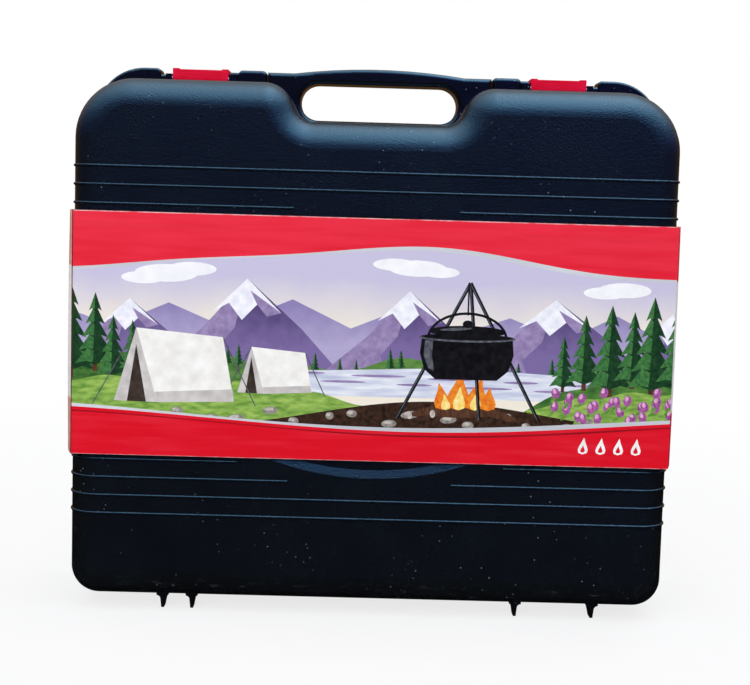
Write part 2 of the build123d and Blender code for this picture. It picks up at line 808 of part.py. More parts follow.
with BuildPart() as sleeve_back:
    add(sleeve_half().rotate(Axis.Z, 180))
sleeve_back.part.label = "sleeve_back"
export_step(sleeve_back.part, "parts/sleeve_back.step")

# Stove body: pressed tray with cut-outs in its panel and barrels for the cover
dial_screw_xs = (
    STOVE_X0 + DIAL_MARGIN + DIAL_SCREW_INSET,
    (KNOB_X + KNOB_R + LEVER_X - LEVER_TAB_W / 2) / 2,
)
dial_screw_ws = (W_FLOOR + DIAL_LOW + DIAL_SCREW_INSET, W_RIM - DIAL_HIGH - DIAL_SCREW_INSET)
burner_screw_xs = (BURNER_X - (STAND_W + STAND_TOP_W) / 4, BURNER_X + (STAND_W + STAND_TOP_W) / 4)
lever_slot_h = LEVER_H + LEVER_TRAVEL + 2 * LEVER_CLEAR
w_lever_slot = W_LEVER - LEVER_TRAVEL / 2
chassis_barrel_z0s = (COVER_Z0 + BARREL_INSET, COVER_Z1 - BARREL_INSET - BARREL_L)
cover_barrel_z0s = (
    COVER_Z0 + BARREL_INSET + BARREL_L + BARREL_GAP,
    COVER_Z1 - BARREL_INSET - 2 * BARREL_L - BARREL_GAP,
)
with BuildPart() as stove_chassis:
    with BuildSketch(front(up(W_BASE))):
        with Locations((0, STOVE_MID_Z)):
            RectangleRounded(STOVE_W, STOVE_D, CHASSIS_R)
    extrude(amount=CHASSIS_H)
    fillet(stove_chassis.faces().sort_by(Axis.Y)[-1].edges(), radius=CHASSIS_FLOOR_R)
    offset(amount=-SHEET, openings=stove_chassis.faces().sort_by(Axis.Y)[0])
    with BuildSketch(Plane.XY.offset(STOVE_Z1 + SHEET)):
        with Locations((KNOB_X, up(W_KNOB))):
            Circle(PANEL_HOLE_R)
        with Locations((LEVER_X, up(w_lever_slot))):
            Rectangle(LEVER_T + 2 * LEVER_CLEAR, lever_slot_h)
        for x in dial_screw_xs:
            for w in dial_screw_ws:
                with Locations((x, up(w))):
                    Circle(SCREW_R + SCREW_CLEAR)
    extrude(amount=-3 * SHEET, mode=Mode.SUBTRACT)
    with BuildSketch(front(up(W_BASE - SHEET))):
        for x in burner_screw_xs:
            with Locations((x, BURNER_Z)):
                Circle(SCREW_R + SCREW_CLEAR)
    extrude(amount=3 * SHEET, mode=Mode.SUBTRACT)
    for z in chassis_barrel_z0s:
        with BuildSketch(Plane.XY.offset(z)):
            with Locations((COVER_AXIS_X, up(W_COVER_AXIS))):
                Circle(CHASSIS_BARREL_R)
                Circle(COVER_PIN_R + RUN_CLEAR, mode=Mode.SUBTRACT)
        extrude(amount=BARREL_L)
stove_chassis.part.label = "stove_chassis"
export_step(stove_chassis.part, "parts/stove_chassis.step")

# Rubber feet
with BuildPart() as stove_feet:
    with BuildSketch(front(up(0))):
        for x in (STOVE_X0 + FOOT_INSET, STOVE_X1 - FOOT_INSET):
            for z in (STOVE_Z0 + FOOT_INSET, STOVE_Z1 - FOOT_INSET):
                with Locations((x, z)):
                    Circle(FOOT_R)
    extrude(amount=FOOT_H)
stove_feet.part.label = "stove_feet"
export_step(stove_feet.part, "parts/stove_feet.step")


def plate_outline(inset, w):
    """Plan of the top plate with its strip behind the cartridge bay, moved in by inset, at level w."""
    edge_x = BAY_X + PLATE_SEAM
    strip_z = STOVE_Z0 + REAR_STRIP
    corners = [
        (STOVE_X0, STOVE_Z0),
        (STOVE_X1, STOVE_Z0),
        (STOVE_X1, STOVE_Z1),
        (edge_x, STOVE_Z1),
        (edge_x, strip_z),
        (STOVE_X0, strip_z),
    ]
    radii = [STRIP_CORNER_R, CHASSIS_R, CHASSIS_R, PLATE_CORNER_R, PLATE_INNER_R, PLATE_CORNER_R]
    with BuildSketch(front(up(w))) as outline:
        with BuildLine():
            FilletPolyline(*corners, radius=radii, close=True)
        make_face()
        if inset > 0:
            offset(amount=-inset)
    return outline.sketch


# Pressed top plate with the square opening for the drip pan
with BuildPart() as top_plate:
    extrude(to_extrude=plate_outline(0, W_RIM), amount=PLATE_H)
    fillet(top_plate.faces().sort_by(Axis.Y)[0].edges(), radius=PLATE_EDGE_R)
    extrude(to_extrude=plate_outline(SHEET, W_RIM), amount=PLATE_H - SHEET, mode=Mode.SUBTRACT)
    with BuildSketch(front(up(W_RIM))):
        with Locations((BURNER_X, BURNER_Z)):
            RectangleRounded(PAN_OPEN, PAN_OPEN, PAN_OPEN_R)
    extrude(amount=PLATE_H, mode=Mode.SUBTRACT)
top_plate.part.label = "top_plate"
export_step(top_plate.part, "parts/top_plate.step")

# Drip pan: sloped pan with a rim that lies on the top plate and a hole for the burner
pan_top = PAN_OPEN - 2 * PAN_CLEAR
pan_low = pan_top - 2 * PAN_SLOPE
with BuildPart() as drip_pan:
    with BuildSketch(front(up(W_PAN_FLOOR))):
        with Locations((BURNER_X, BURNER_Z)):
            RectangleRounded(pan_low, pan_low, PAN_OPEN_R - PAN_CLEAR)
    with BuildSketch(front(up(W_PLATE + SHEET))):
        with Locations((BURNER_X, BURNER_Z)):
            RectangleRounded(pan_top, pan_top, PAN_OPEN_R - PAN_CLEAR)
    loft()
    offset(amount=-SHEET, openings=drip_pan.faces().sort_by(Axis.Y)[0])
    with BuildSketch(front(up(W_PLATE))):
        with Locations((BURNER_X, BURNER_Z)):
            RectangleRounded(PAN_OPEN + 2 * PAN_RIM, PAN_OPEN + 2 * PAN_RIM, PAN_OPEN_R + PAN_RIM)
            RectangleRounded(pan_top - SHEET, pan_top - SHEET, PAN_OPEN_R - SHEET, mode=Mode.SUBTRACT)
    extrude(amount=SHEET)
    with BuildSketch(front(up(W_PAN_FLOOR - SHEET))):
        with Locations((BURNER_X, BURNER_Z)):
            Circle(PAN_HOLE_R)
    extrude(amount=3 * SHEET, mode=Mode.SUBTRACT)
drip_pan.part.label = "drip_pan"
export_step(drip_pan.part, "parts/drip_pan.step")

# Pan support, stowed upside down: frame on the pan's rim with four notched fins hanging from its corners
w_support = W_PLATE + SHEET
support_out = PAN_OPEN + 2 * SUPPORT_OVERLAP
support_in = pan_top - 2 * SHEET - 2 * SUPPORT_LAP
fin_end_r = (support_in / 2 - SUPPORT_CORNER_R) * math.sqrt(2) + SUPPORT_CORNER_R + 2 * SUPPORT_LAP
fin_low_r = fin_end_r - 2 * SUPPORT_LAP - SUPPORT_WALL_GAP
with BuildPart() as pan_support:
    with BuildSketch(front(up(w_support))):
        with Locations((BURNER_X, BURNER_Z)):
            RectangleRounded(support_out, support_out, SUPPORT_CORNER_R + SUPPORT_OVERLAP)
            RectangleRounded(support_in, support_in, SUPPORT_CORNER_R, mode=Mode.SUBTRACT)
    extrude(amount=SUPPORT_T)
    for quarter in range(4):
        turn = math.radians(45 + 90 * quarter)
        along = (math.cos(turn), 0, math.sin(turn))
        across = (-math.sin(turn), 0, math.cos(turn))
        fin_plane = Plane(origin=(BURNER_X, up(w_support), BURNER_Z), x_dir=along, z_dir=across)
        lift = 1 if fin_plane.y_dir.Y < 0 else -1
        with BuildSketch(fin_plane.offset(-SUPPORT_T / 2)):
            with BuildLine():
                Polyline(
                    (SUPPORT_INNER_R, lift * SUPPORT_T),
                    (SUPPORT_INNER_R, -lift * SUPPORT_DROP),
                    (fin_low_r - SUPPORT_WALL_GAP, -lift * SUPPORT_DROP),
                    (fin_low_r, 0),
                    (fin_end_r, 0),
                    (fin_end_r, lift * SUPPORT_T),
                    close=True,
                )
            make_face()
            for index in range(SUPPORT_NOTCHES):
                span = (fin_low_r - SUPPORT_WALL_GAP - SUPPORT_INNER_R) / (SUPPORT_NOTCHES + 1)
                with Locations((SUPPORT_INNER_R + span * (index + 1), -lift * SUPPORT_DROP)):
                    Rectangle(SUPPORT_NOTCH_SHARE * span, 2 * SUPPORT_NOTCH_D, mode=Mode.SUBTRACT)
        extrude(amount=SUPPORT_T)
pan_support.part.label = "pan_support"
export_step(pan_support.part, "parts/pan_support.step")

# Burner cup with its mixing tube and the arm for the electrode
burner_plane = Plane(origin=(BURNER_X, STOVE_Y, BURNER_Z), x_dir=(1, 0, 0), z_dir=(0, 0, 1))
burner_axis = Axis((BURNER_X, STOVE_Y, BURNER_Z), (0, -1, 0))
tube_plane = Plane(origin=(TUBE_END_X, up(W_TUBE), BURNER_Z), x_dir=(0, 1, 0), z_dir=(1, 0, 0))
arm_turn = math.radians(ELECTRODE_ANGLE)
arm_plane = Plane(
    origin=(BURNER_X, up(W_CERAMIC + CERAMIC_L / 3), BURNER_Z),
    x_dir=(math.cos(arm_turn), 0, math.sin(arm_turn)),
    z_dir=(0, -1, 0),
)
with BuildPart() as burner_cup:
    with BuildSketch(burner_plane):
        with BuildLine():
            Polyline(
                (0, -W_CUP),
                (CUP_FOOT_R, -W_CUP),
                (CUP_R, -W_CUP - CUP_H / 2),
                (CUP_R, -W_HEAD),
                (0, -W_HEAD),
                close=True,
            )
        make_face()
    revolve(axis=burner_axis)
    with BuildSketch(tube_plane):
        Circle(TUBE_R)
    extrude(amount=TUBE_L)
    with BuildSketch(tube_plane):
        Circle(BELL_R)
    with BuildSketch(tube_plane.offset(BELL_L)):
        Circle(TUBE_R)
    loft()
    with BuildSketch(arm_plane):
        with Locations((ELECTRODE_R_AT / 2, 0)):
            Rectangle(ELECTRODE_R_AT, ARM_W)
        with Locations((ELECTRODE_R_AT, 0)):
            Circle(ARM_W / 2)
            Circle(CERAMIC_R + SCREW_CLEAR, mode=Mode.SUBTRACT)
    extrude(amount=ARM_T)
    with BuildSketch(burner_plane):
        with BuildLine():
            Polyline(
                (0, -W_CUP - CUP_WALL),
                (CUP_FOOT_R - CUP_WALL, -W_CUP - CUP_WALL),
                (CUP_R - CUP_WALL, -W_CUP - CUP_H / 2),
                (CUP_R - CUP_WALL, -W_HEAD),
                (0, -W_HEAD),
                close=True,
            )
        make_face()
    revolve(axis=burner_axis, mode=Mode.SUBTRACT)
    with BuildSketch(tube_plane):
        Circle(TUBE_R - TUBE_WALL)
    extrude(amount=TUBE_L, mode=Mode.SUBTRACT)
    with BuildSketch(tube_plane):
        Circle(BELL_R - TUBE_WALL)
    with BuildSketch(tube_plane.offset(BELL_L)):
        Circle(TUBE_R - TUBE_WALL)
    loft(mode=Mode.SUBTRACT)
burner_cup.part.label = "burner_cup"
export_step(burner_cup.part, "parts/burner_cup.step")

# Flame cap: spigot inside the cup, slotted skirt, dished top
spigot_r = CUP_R - CUP_WALL - HEAD_GAP
with BuildPart() as burner_head:
    with BuildSketch(burner_plane):
        with BuildLine():
            Polyline(
                (spigot_r - HEAD_WALL, -W_HEAD + HEAD_SPIGOT),
                (spigot_r, -W_HEAD + HEAD_SPIGOT),
                (spigot_r, -W_HEAD),
                (HEAD_R - HEAD_WALL, -W_HEAD),
                (HEAD_R, -W_HEAD - HEAD_H / 2),
                (HEAD_R, -W_HEAD - HEAD_H + HEAD_WALL / 2),
                (HEAD_R - HEAD_WALL, -W_HEAD - HEAD_H),
                (HEAD_WALL, -W_HEAD - HEAD_H + HEAD_DISH),
                (0, -W_HEAD - HEAD_H + HEAD_DISH),
                (0, -W_HEAD - HEAD_H + HEAD_DISH + HEAD_WALL),
                (spigot_r - HEAD_WALL, -W_HEAD - HEAD_H + HEAD_DISH),
                close=True,
            )
        make_face()
    revolve(axis=burner_axis)
    for index in range(FLAME_SLOTS):
        turn = math.radians(360 / FLAME_SLOTS * index)
        slot_plane = Plane(
            origin=(BURNER_X, up(W_HEAD + FLAME_SLOT_LIFT), BURNER_Z),
            x_dir=(math.cos(turn), 0, math.sin(turn)),
            z_dir=(0, -1, 0),
        )
        with BuildSketch(slot_plane):
            with Locations((HEAD_R, 0)):
                Rectangle(2 * HEAD_WALL, FLAME_SLOT_W)
        extrude(amount=FLAME_SLOT_H, mode=Mode.SUBTRACT)
burner_head.part.label = "burner_head"
export_step(burner_head.part, "parts/burner_head.step")

# Bent bracket that carries the burner cup above the floor
with BuildPart() as burner_stand:
    with BuildSketch(Plane.XY.offset(BURNER_Z - STAND_D / 2)):
        with BuildLine():
            Polyline(
                (BURNER_X - STAND_W / 2, up(W_FLOOR)),
                (BURNER_X - STAND_TOP_W / 2 + STAND_T, up(W_FLOOR)),
                (BURNER_X - STAND_TOP_W / 2 + STAND_T, up(W_CUP - STAND_T)),
                (BURNER_X + STAND_TOP_W / 2 - STAND_T, up(W_CUP - STAND_T)),
                (BURNER_X + STAND_TOP_W / 2 - STAND_T, up(W_FLOOR)),
                (BURNER_X + STAND_W / 2, up(W_FLOOR)),
                (BURNER_X + STAND_W / 2, up(W_FLOOR + STAND_T)),
                (BURNER_X + STAND_TOP_W / 2, up(W_FLOOR + STAND_T)),
                (BURNER_X + STAND_TOP_W / 2, up(W_CUP)),
                (BURNER_X - STAND_TOP_W / 2, up(W_CUP)),
                (BURNER_X - STAND_TOP_W / 2, up(W_FLOOR + STAND_T)),
                (BURNER_X - STAND_W / 2, up(W_FLOOR + STAND_T)),
                close=True,
            )
        make_face()
    extrude(amount=STAND_D)
    with BuildSketch(front(up(W_FLOOR))):
        for x in burner_screw_xs:
            with Locations((x, BURNER_Z)):
                Circle(SCREW_R + SCREW_CLEAR)
    extrude(amount=STAND_T, mode=Mode.SUBTRACT)
burner_stand.part.label = "burner_stand"
export_step(burner_stand.part, "parts/burner_stand.step")

# Screws that hold the stand to the floor
with BuildPart() as burner_screws:
    with BuildSketch(front(up(W_BASE))):
        for x in burner_screw_xs:
            with Locations((x, BURNER_Z)):
                Circle(SCREW_R)
    extrude(amount=SHEET + STAND_T)
    with BuildSketch(front(up(W_FLOOR + STAND_T))):
        for x in burner_screw_xs:
            with Locations((x, BURNER_Z)):
                Circle(SCREW_HEAD_R)
    extrude(amount=SCREW_HEAD_H)
burner_screws.part.label = "burner_screws"
export_step(burner_screws.part, "parts/burner_screws.step")

# Brass jet in line with the mixing tube
jet_x1 = TUBE_END_X - JET_GAP
jet_plane = Plane(origin=(jet_x1 - JET_L, up(W_TUBE), BURNER_Z), x_dir=(0, 1, 0), z_dir=(1, 0, 0))
with BuildPart() as jet:
    with BuildSketch(jet_plane):
        Circle(JET_R)
    extrude(amount=JET_L)
    with BuildSketch(jet_plane.offset(JET_L)):
        Circle(JET_NOSE_R)
    extrude(amount=JET_NOSE_L)
jet.part.label = "jet"
export_step(jet.part, "parts/jet.step")

# Bracket for the jet, with a foot on the floor
jet_bracket_x = jet_x1 - JET_L / 2
with BuildPart() as jet_bracket:
    with BuildSketch(Plane.YZ.offset(jet_bracket_x)):
        with Locations((up((W_FLOOR + W_TUBE + JET_BRACKET_TOP) / 2), BURNER_Z)):
            Rectangle(W_TUBE + JET_BRACKET_TOP - W_FLOOR, JET_BRACKET_W)
        with Locations((up(W_TUBE), BURNER_Z)):
            Circle(JET_R + RUN_CLEAR, mode=Mode.SUBTRACT)
    extrude(amount=JET_BRACKET_T)
    with BuildSketch(front(up(W_FLOOR))):
        with Locations((jet_bracket_x + JET_BRACKET_FOOT / 2, BURNER_Z)):
            Rectangle(JET_BRACKET_FOOT, JET_BRACKET_W)
    extrude(amount=JET_BRACKET_T)
jet_bracket.part.label = "jet_bracket"
export_step(jet_bracket.part, "parts/jet_bracket.step")

# Gas pipe from the regulator's outlet through the heat shield to the jet
outlet_x = BAY_MID_X + REG_W / 2 + OUTLET_L
with BuildPart() as gas_pipe:
    with BuildLine() as pipe_path:
        FilletPolyline(
            (outlet_x, up(W_PIPE), REG_MID_Z),
            (jet_x1 - JET_L - PIPE_RUN, up(W_PIPE), REG_MID_Z),
            (jet_x1 - JET_L - PIPE_RUN, up(W_TUBE), BURNER_Z),
            (jet_x1 - JET_L, up(W_TUBE), BURNER_Z),
            radius=PIPE_BEND_R,
        )
    with BuildSketch(Plane(origin=(outlet_x, up(W_PIPE), REG_MID_Z), x_dir=(0, 1, 0), z_dir=(1, 0, 0))):
        Circle(PIPE_R)
    sweep(path=pipe_path.line)
gas_pipe.part.label = "gas_pipe"
export_step(gas_pipe.part, "parts/gas_pipe.step")

# Regulator body: block, foot, cartridge socket, pipe outlet and valve bore
socket_plane = Plane(origin=(BAY_MID_X, up(W_SOCKET), REG_Z0), x_dir=(1, 0, 0), z_dir=(0, 0, -1))
outlet_plane = Plane(
    origin=(BAY_MID_X + REG_W / 2, up(W_PIPE), REG_MID_Z), x_dir=(0, 1, 0), z_dir=(1, 0, 0)
)
with BuildPart() as regulator:
    with BuildSketch(front(up(W_REG))):
        with Locations((BAY_MID_X, REG_MID_Z)):
            Rectangle(REG_W, REG_D)
    extrude(amount=REG_H)
    fillet(regulator.edges().filter_by(Axis.Y), radius=REG_EDGE_R)
    with BuildSketch(front(up(W_FLOOR))):
        with Locations((BAY_MID_X, REG_MID_Z)):
            Rectangle(REG_FOOT_W, REG_FOOT_D)
    extrude(amount=REG_LIFT + SHEET)
    with BuildSketch(socket_plane):
        Circle(SOCKET_R)
    extrude(amount=SOCKET_L)
    with BuildSketch(outlet_plane.offset(-OUTLET_L)):
        Circle(OUTLET_R)
    extrude(amount=2 * OUTLET_L)
    with BuildSketch(socket_plane.offset(SOCKET_L)):
        Circle(SOCKET_BORE_R)
    extrude(amount=-SOCKET_BORE_L, mode=Mode.SUBTRACT)
    with BuildSketch(Plane.XY.offset(REG_Z1)):
        with Locations((KNOB_X, up(W_KNOB))):
            Circle(SPINDLE_R + RUN_CLEAR)
    extrude(amount=-SPINDLE_IN - SPINDLE_GAP, mode=Mode.SUBTRACT)
regulator.part.label = "regulator"
export_step(regulator.part, "parts/regulator.step")

# Diaphragm cap on top of the regulator
with BuildPart() as regulator_cap:
    with BuildSketch(front(up(W_REG + REG_H))):
        with Locations((BAY_MID_X, REG_MID_Z)):
            Circle(CAP_R)
    extrude(amount=CAP_H)
    fillet(regulator_cap.faces().sort_by(Axis.Y)[0].edges(), radius=CAP_EDGE_R)
regulator_cap.part.label = "regulator_cap"
export_step(regulator_cap.part, "parts/regulator_cap.step")

# Rubber seal at the bottom of the cartridge socket
with BuildPart() as nozzle_seal:
    with BuildSketch(socket_plane.offset(SOCKET_L - SOCKET_BORE_L)):
        Circle(SOCKET_BORE_R - SEAL_CLEAR)
        Circle(SEAL_HOLE_R, mode=Mode.SUBTRACT)
    extrude(amount=SEAL_L)
nozzle_seal.part.label = "nozzle_seal"
export_step(nozzle_seal.part, "parts/nozzle_seal.step")


def cam_points():
    """Outline of the ignition cam: it rises evenly over its sweep, starting at the plunger."""
    points = []
    for index in range(CAM_STEPS + 1):
        share = index / CAM_STEPS
        turn = math.radians(180 - CAM_SWEEP * share)
        radius = CAM_R + CAM_LIFT * share
        points.append((radius * math.cos(turn), radius * math.sin(turn)))
    return points


# Valve spindle with the ignition cam
with BuildPart() as valve_spindle:
    with BuildSketch(Plane.XY.offset(REG_Z1 - SPINDLE_IN)):
        with Locations((KNOB_X, up(W_KNOB))):
            Circle(SPINDLE_R)
    extrude(amount=PANEL_Z + SPINDLE_OUT - REG_Z1 + SPINDLE_IN)
    with BuildSketch(Plane(origin=(KNOB_X, up(W_KNOB), CAM_Z0), x_dir=(1, 0, 0), z_dir=(0, 0, 1))):
        Circle(CAM_R)
        with BuildLine():
            rise = Spline(*cam_points())
            Line(rise @ 1, (0, 0))
            Line((0, 0), rise @ 0)
        make_face()
    extrude(amount=CAM_T)
valve_spindle.part.label = "valve_spindle"
export_step(valve_spindle.part, "parts/valve_spindle.step")

# Control knob: flange, round grip and the flats that leave its bar
knob_z0 = PANEL_Z + KNOB_GAP
with BuildPart() as control_knob:
    with BuildSketch(Plane.XY.offset(knob_z0)):
        with Locations((KNOB_X, up(W_KNOB))):
            Circle(KNOB_R)
    extrude(amount=KNOB_FLANGE_T)
    fillet(control_knob.faces().sort_by(Axis.Z)[-1].edges(), radius=KNOB_EDGE_R)
    with BuildSketch(Plane.XY.offset(knob_z0 + KNOB_FLANGE_T)):
        with Locations((KNOB_X, up(W_KNOB))):
            Circle(KNOB_GRIP_R)
    extrude(amount=KNOB_H - KNOB_FLANGE_T)
    fillet(control_knob.faces().sort_by(Axis.Z)[-1].edges(), radius=KNOB_EDGE_R)
    with BuildSketch(Plane.XY.offset(knob_z0 + KNOB_H)):
        for side in (-1, 1):
            with Locations((KNOB_X + side * (KNOB_BAR_W / 2 + KNOB_GRIP_R / 2), up(W_KNOB))):
                Rectangle(KNOB_GRIP_R, 2 * KNOB_GRIP_R)
    extrude(amount=-KNOB_BAR_CUT, mode=Mode.SUBTRACT)
    with BuildSketch(Plane.XY.offset(knob_z0)):
        with Locations((KNOB_X, up(W_KNOB))):
            Circle(SPINDLE_R + KNOB_FIT)
    extrude(amount=SPINDLE_OUT - KNOB_GAP + KNOB_FIT, mode=Mode.SUBTRACT)
control_knob.part.label = "control_knob"
export_step(control_knob.part, "parts/control_knob.step")

# Moulded panel behind the knob and lever
dial_x0 = STOVE_X0 + DIAL_MARGIN
dial_w0 = W_FLOOR + DIAL_LOW
dial_w1 = W_RIM - DIAL_HIGH
with BuildPart() as dial_plate:
    with BuildSketch(Plane.XY.offset(STOVE_Z1)):
        with Locations(((dial_x0 + BAY_X) / 2, up((dial_w0 + dial_w1) / 2))):
            RectangleRounded(BAY_X - dial_x0, dial_w1 - dial_w0, DIAL_R)
        with Locations((KNOB_X, up(W_KNOB))):
            Circle(PANEL_HOLE_R, mode=Mode.SUBTRACT)
        with Locations((LEVER_X, up(w_lever_slot))):
            Rectangle(LEVER_T + 2 * LEVER_CLEAR, lever_slot_h, mode=Mode.SUBTRACT)
        for x in dial_screw_xs:
            for w in dial_screw_ws:
                with Locations((x, up(w))):
                    Circle(SCREW_R + SCREW_CLEAR, mode=Mode.SUBTRACT)
    extrude(amount=DIAL_T)
dial_plate.part.label = "dial_plate"
export_step(dial_plate.part, "parts/dial_plate.step")

# Screws at the corners of the dial plate
with BuildPart() as dial_screws:
    for x in dial_screw_xs:
        for w in dial_screw_ws:
            with BuildSketch(Plane.XY.offset(PANEL_Z)):
                with Locations((x, up(w))):
                    Circle(SCREW_HEAD_R)
            extrude(amount=SCREW_HEAD_H)
            with BuildSketch(Plane.XY.offset(PANEL_Z)):
                with Locations((x, up(w))):
                    Circle(SCREW_R)
            extrude(amount=-DIAL_SCREW_L)
dial_screws.part.label = "dial_screws"
export_step(dial_screws.part, "parts/dial_screws.step")

# Lock lever: stem through the slot, finger tab outside, pin inside
with BuildPart() as lock_lever:
    with BuildSketch(Plane.XY.offset(STOVE_Z1 - LEVER_BACK)):
        with Locations((LEVER_X, up(W_LEVER))):
            Rectangle(LEVER_T, LEVER_H)
    extrude(amount=LEVER_BACK + DIAL_T + KNOB_GAP)
    with BuildSketch(Plane.XY.offset(PANEL_Z + KNOB_GAP)):
        with Locations((LEVER_X, up(W_LEVER))):
            RectangleRounded(LEVER_TAB_W, LEVER_TAB_H, LEVER_TAB_R)
    extrude(amount=LEVER_TAB_L)
    fillet(lock_lever.faces().sort_by(Axis.Z)[-1].edges(), radius=KNOB_EDGE_R)
    with BuildSketch(Plane.YZ.offset(LEVER_X)):
        with Locations((up(W_LEVER), LEVER_PIN_Z)):
            Circle(LEVER_PIN_R)
    extrude(amount=LEVER_T / 2 + LEVER_PIN_L)
lock_lever.part.label = "lock_lever"
export_step(lock_lever.part, "parts/lock_lever.step")

# Slide moved by the lever's pin in a slanted slot, with a hook for the cartridge's rim
slot_run = math.hypot(LEVER_TRAVEL, SLIDE_TRAVEL)
slot_turn = math.degrees(math.atan2(-SLIDE_TRAVEL, LEVER_TRAVEL))
slide_w0 = W_LEVER - LEVER_TRAVEL - LEVER_PIN_R - PIN_SLOT_CLEAR - SLIDE_EDGE
slide_w1 = W_LEVER + LEVER_PIN_R + PIN_SLOT_CLEAR + SLIDE_EDGE
with BuildPart() as cartridge_slide:
    with BuildSketch(Plane.YZ.offset(SLIDE_X)):
        with Locations((up((slide_w0 + slide_w1) / 2), (SLIDE_Z0 + SLIDE_Z1) / 2)):
            Rectangle(slide_w1 - slide_w0, SLIDE_L)
        with Locations((up(W_LEVER - LEVER_TRAVEL / 2), LEVER_PIN_Z - SLIDE_TRAVEL / 2)):
            SlotCenterToCenter(
                slot_run, 2 * (LEVER_PIN_R + PIN_SLOT_CLEAR), rotation=slot_turn, mode=Mode.SUBTRACT
            )
    extrude(amount=SLIDE_T)
    with BuildSketch(Plane.XY.offset(SLIDE_Z0)):
        with Locations((SLIDE_X + SLIDE_T, up((slide_w0 + slide_w1) / 2))):
            Rectangle(SLIDE_HOOK_W, SLIDE_HOOK_H, align=(Align.MAX, Align.CENTER))
    extrude(amount=SLIDE_T)
cartridge_slide.part.label = "cartridge_slide"
export_step(cartridge_slide.part, "parts/cartridge_slide.step")

# Saddle under the cartridge, on two legs
saddle_r = CARTRIDGE_R + SADDLE_CLEAR
with BuildPart() as cartridge_cradle:
    with BuildSketch(Plane.XY.offset(SADDLE_Z0)):
        with BuildLine():
            CenterArc((BAY_MID_X, up(W_SOCKET)), saddle_r, 90 - SADDLE_HALF_ANGLE, 2 * SADDLE_HALF_ANGLE)
            CenterArc((BAY_MID_X, up(W_SOCKET)), saddle_r + SADDLE_T, 90 - SADDLE_HALF_ANGLE, 2 * SADDLE_HALF_ANGLE)
            for turn in (90 - SADDLE_HALF_ANGLE, 90 + SADDLE_HALF_ANGLE):
                cos_turn = math.cos(math.radians(turn))
                sin_turn = math.sin(math.radians(turn))
                Line(
                    (BAY_MID_X + saddle_r * cos_turn, up(W_SOCKET) + saddle_r * sin_turn),
                    (
                        BAY_MID_X + (saddle_r + SADDLE_T) * cos_turn,
                        up(W_SOCKET) + (saddle_r + SADDLE_T) * sin_turn,
                    ),
                )
        make_face()
    extrude(amount=SADDLE_L)
    for z in (SADDLE_Z0 + SADDLE_LEG_INSET, SADDLE_Z0 + SADDLE_L - SADDLE_LEG_INSET - SADDLE_LEG_L):
        with BuildSketch(Plane.XY.offset(z)):
            with Locations((BAY_MID_X, up(W_FLOOR))):
                Rectangle(SADDLE_LEG_W, W_SOCKET - W_FLOOR, align=(Align.CENTER, Align.MAX))
            with Locations((BAY_MID_X, up(W_SOCKET))):
                Circle(saddle_r + SADDLE_T / 2, mode=Mode.SUBTRACT)
        extrude(amount=SADDLE_LEG_L)
cartridge_cradle.part.label = "cartridge_cradle"
export_step(cartridge_cradle.part, "parts/cartridge_cradle.step")

# Heat shield between burner and cartridge, with vents and holes for pipe and lead
shield_z0 = STOVE_Z0 + SHEET + SHIELD_GAP
shield_z1 = STOVE_Z1 - SHEET - SHIELD_GAP
with BuildPart() as heat_shield:
    with BuildSketch(Plane.YZ.offset(BAY_X - SHEET - SHIELD_GAP)):
        with Locations((up((W_FLOOR + W_RIM) / 2), (shield_z0 + shield_z1) / 2)):
            Rectangle(W_RIM - W_FLOOR, shield_z1 - shield_z0)
        with Locations((up(W_FLOOR), shield_z0), (up(W_FLOOR), shield_z1)):
            Rectangle(2 * CHASSIS_FLOOR_R, 2 * CHASSIS_FLOOR_R, mode=Mode.SUBTRACT)
        with Locations((up(W_PIPE), REG_MID_Z)):
            Circle(PIPE_R + SHIELD_HOLE_CLEAR, mode=Mode.SUBTRACT)
        with Locations((up(W_LEAD), LEAD_Z)):
            Circle(LEAD_R + SHIELD_HOLE_CLEAR, mode=Mode.SUBTRACT)
        for index in range(VENT_COUNT):
            with Locations((up(VENT_AXIS), STOVE_Z0 + VENT_START + VENT_PITCH * index)):
                SlotOverall(VENT_W, VENT_H, rotation=90, mode=Mode.SUBTRACT)
    extrude(amount=SHEET)
heat_shield.part.label = "heat_shield"
export_step(heat_shield.part, "parts/heat_shield.step")


def cover_profile(inset, z):
    """Cross-section of the cartridge cover at height z, moved in by inset, open side at the stove's rim."""
    left = STOVE_X0 + inset
    right = BAY_X - COVER_GAP - inset
    low = up(W_RIM + COVER_GAP - inset)
    high = up(W_COVER - inset)
    with BuildSketch(Plane.XY.offset(z)) as profile:
        with BuildLine():
            FilletPolyline(
                (left, low),
                (right, low),
                (right, high),
                (left, high),
                radius=[0, 0, COVER_EDGE_R - inset, COVER_SIDE_R - inset],
                close=True,
            )
        make_face()
    return profile.sketch


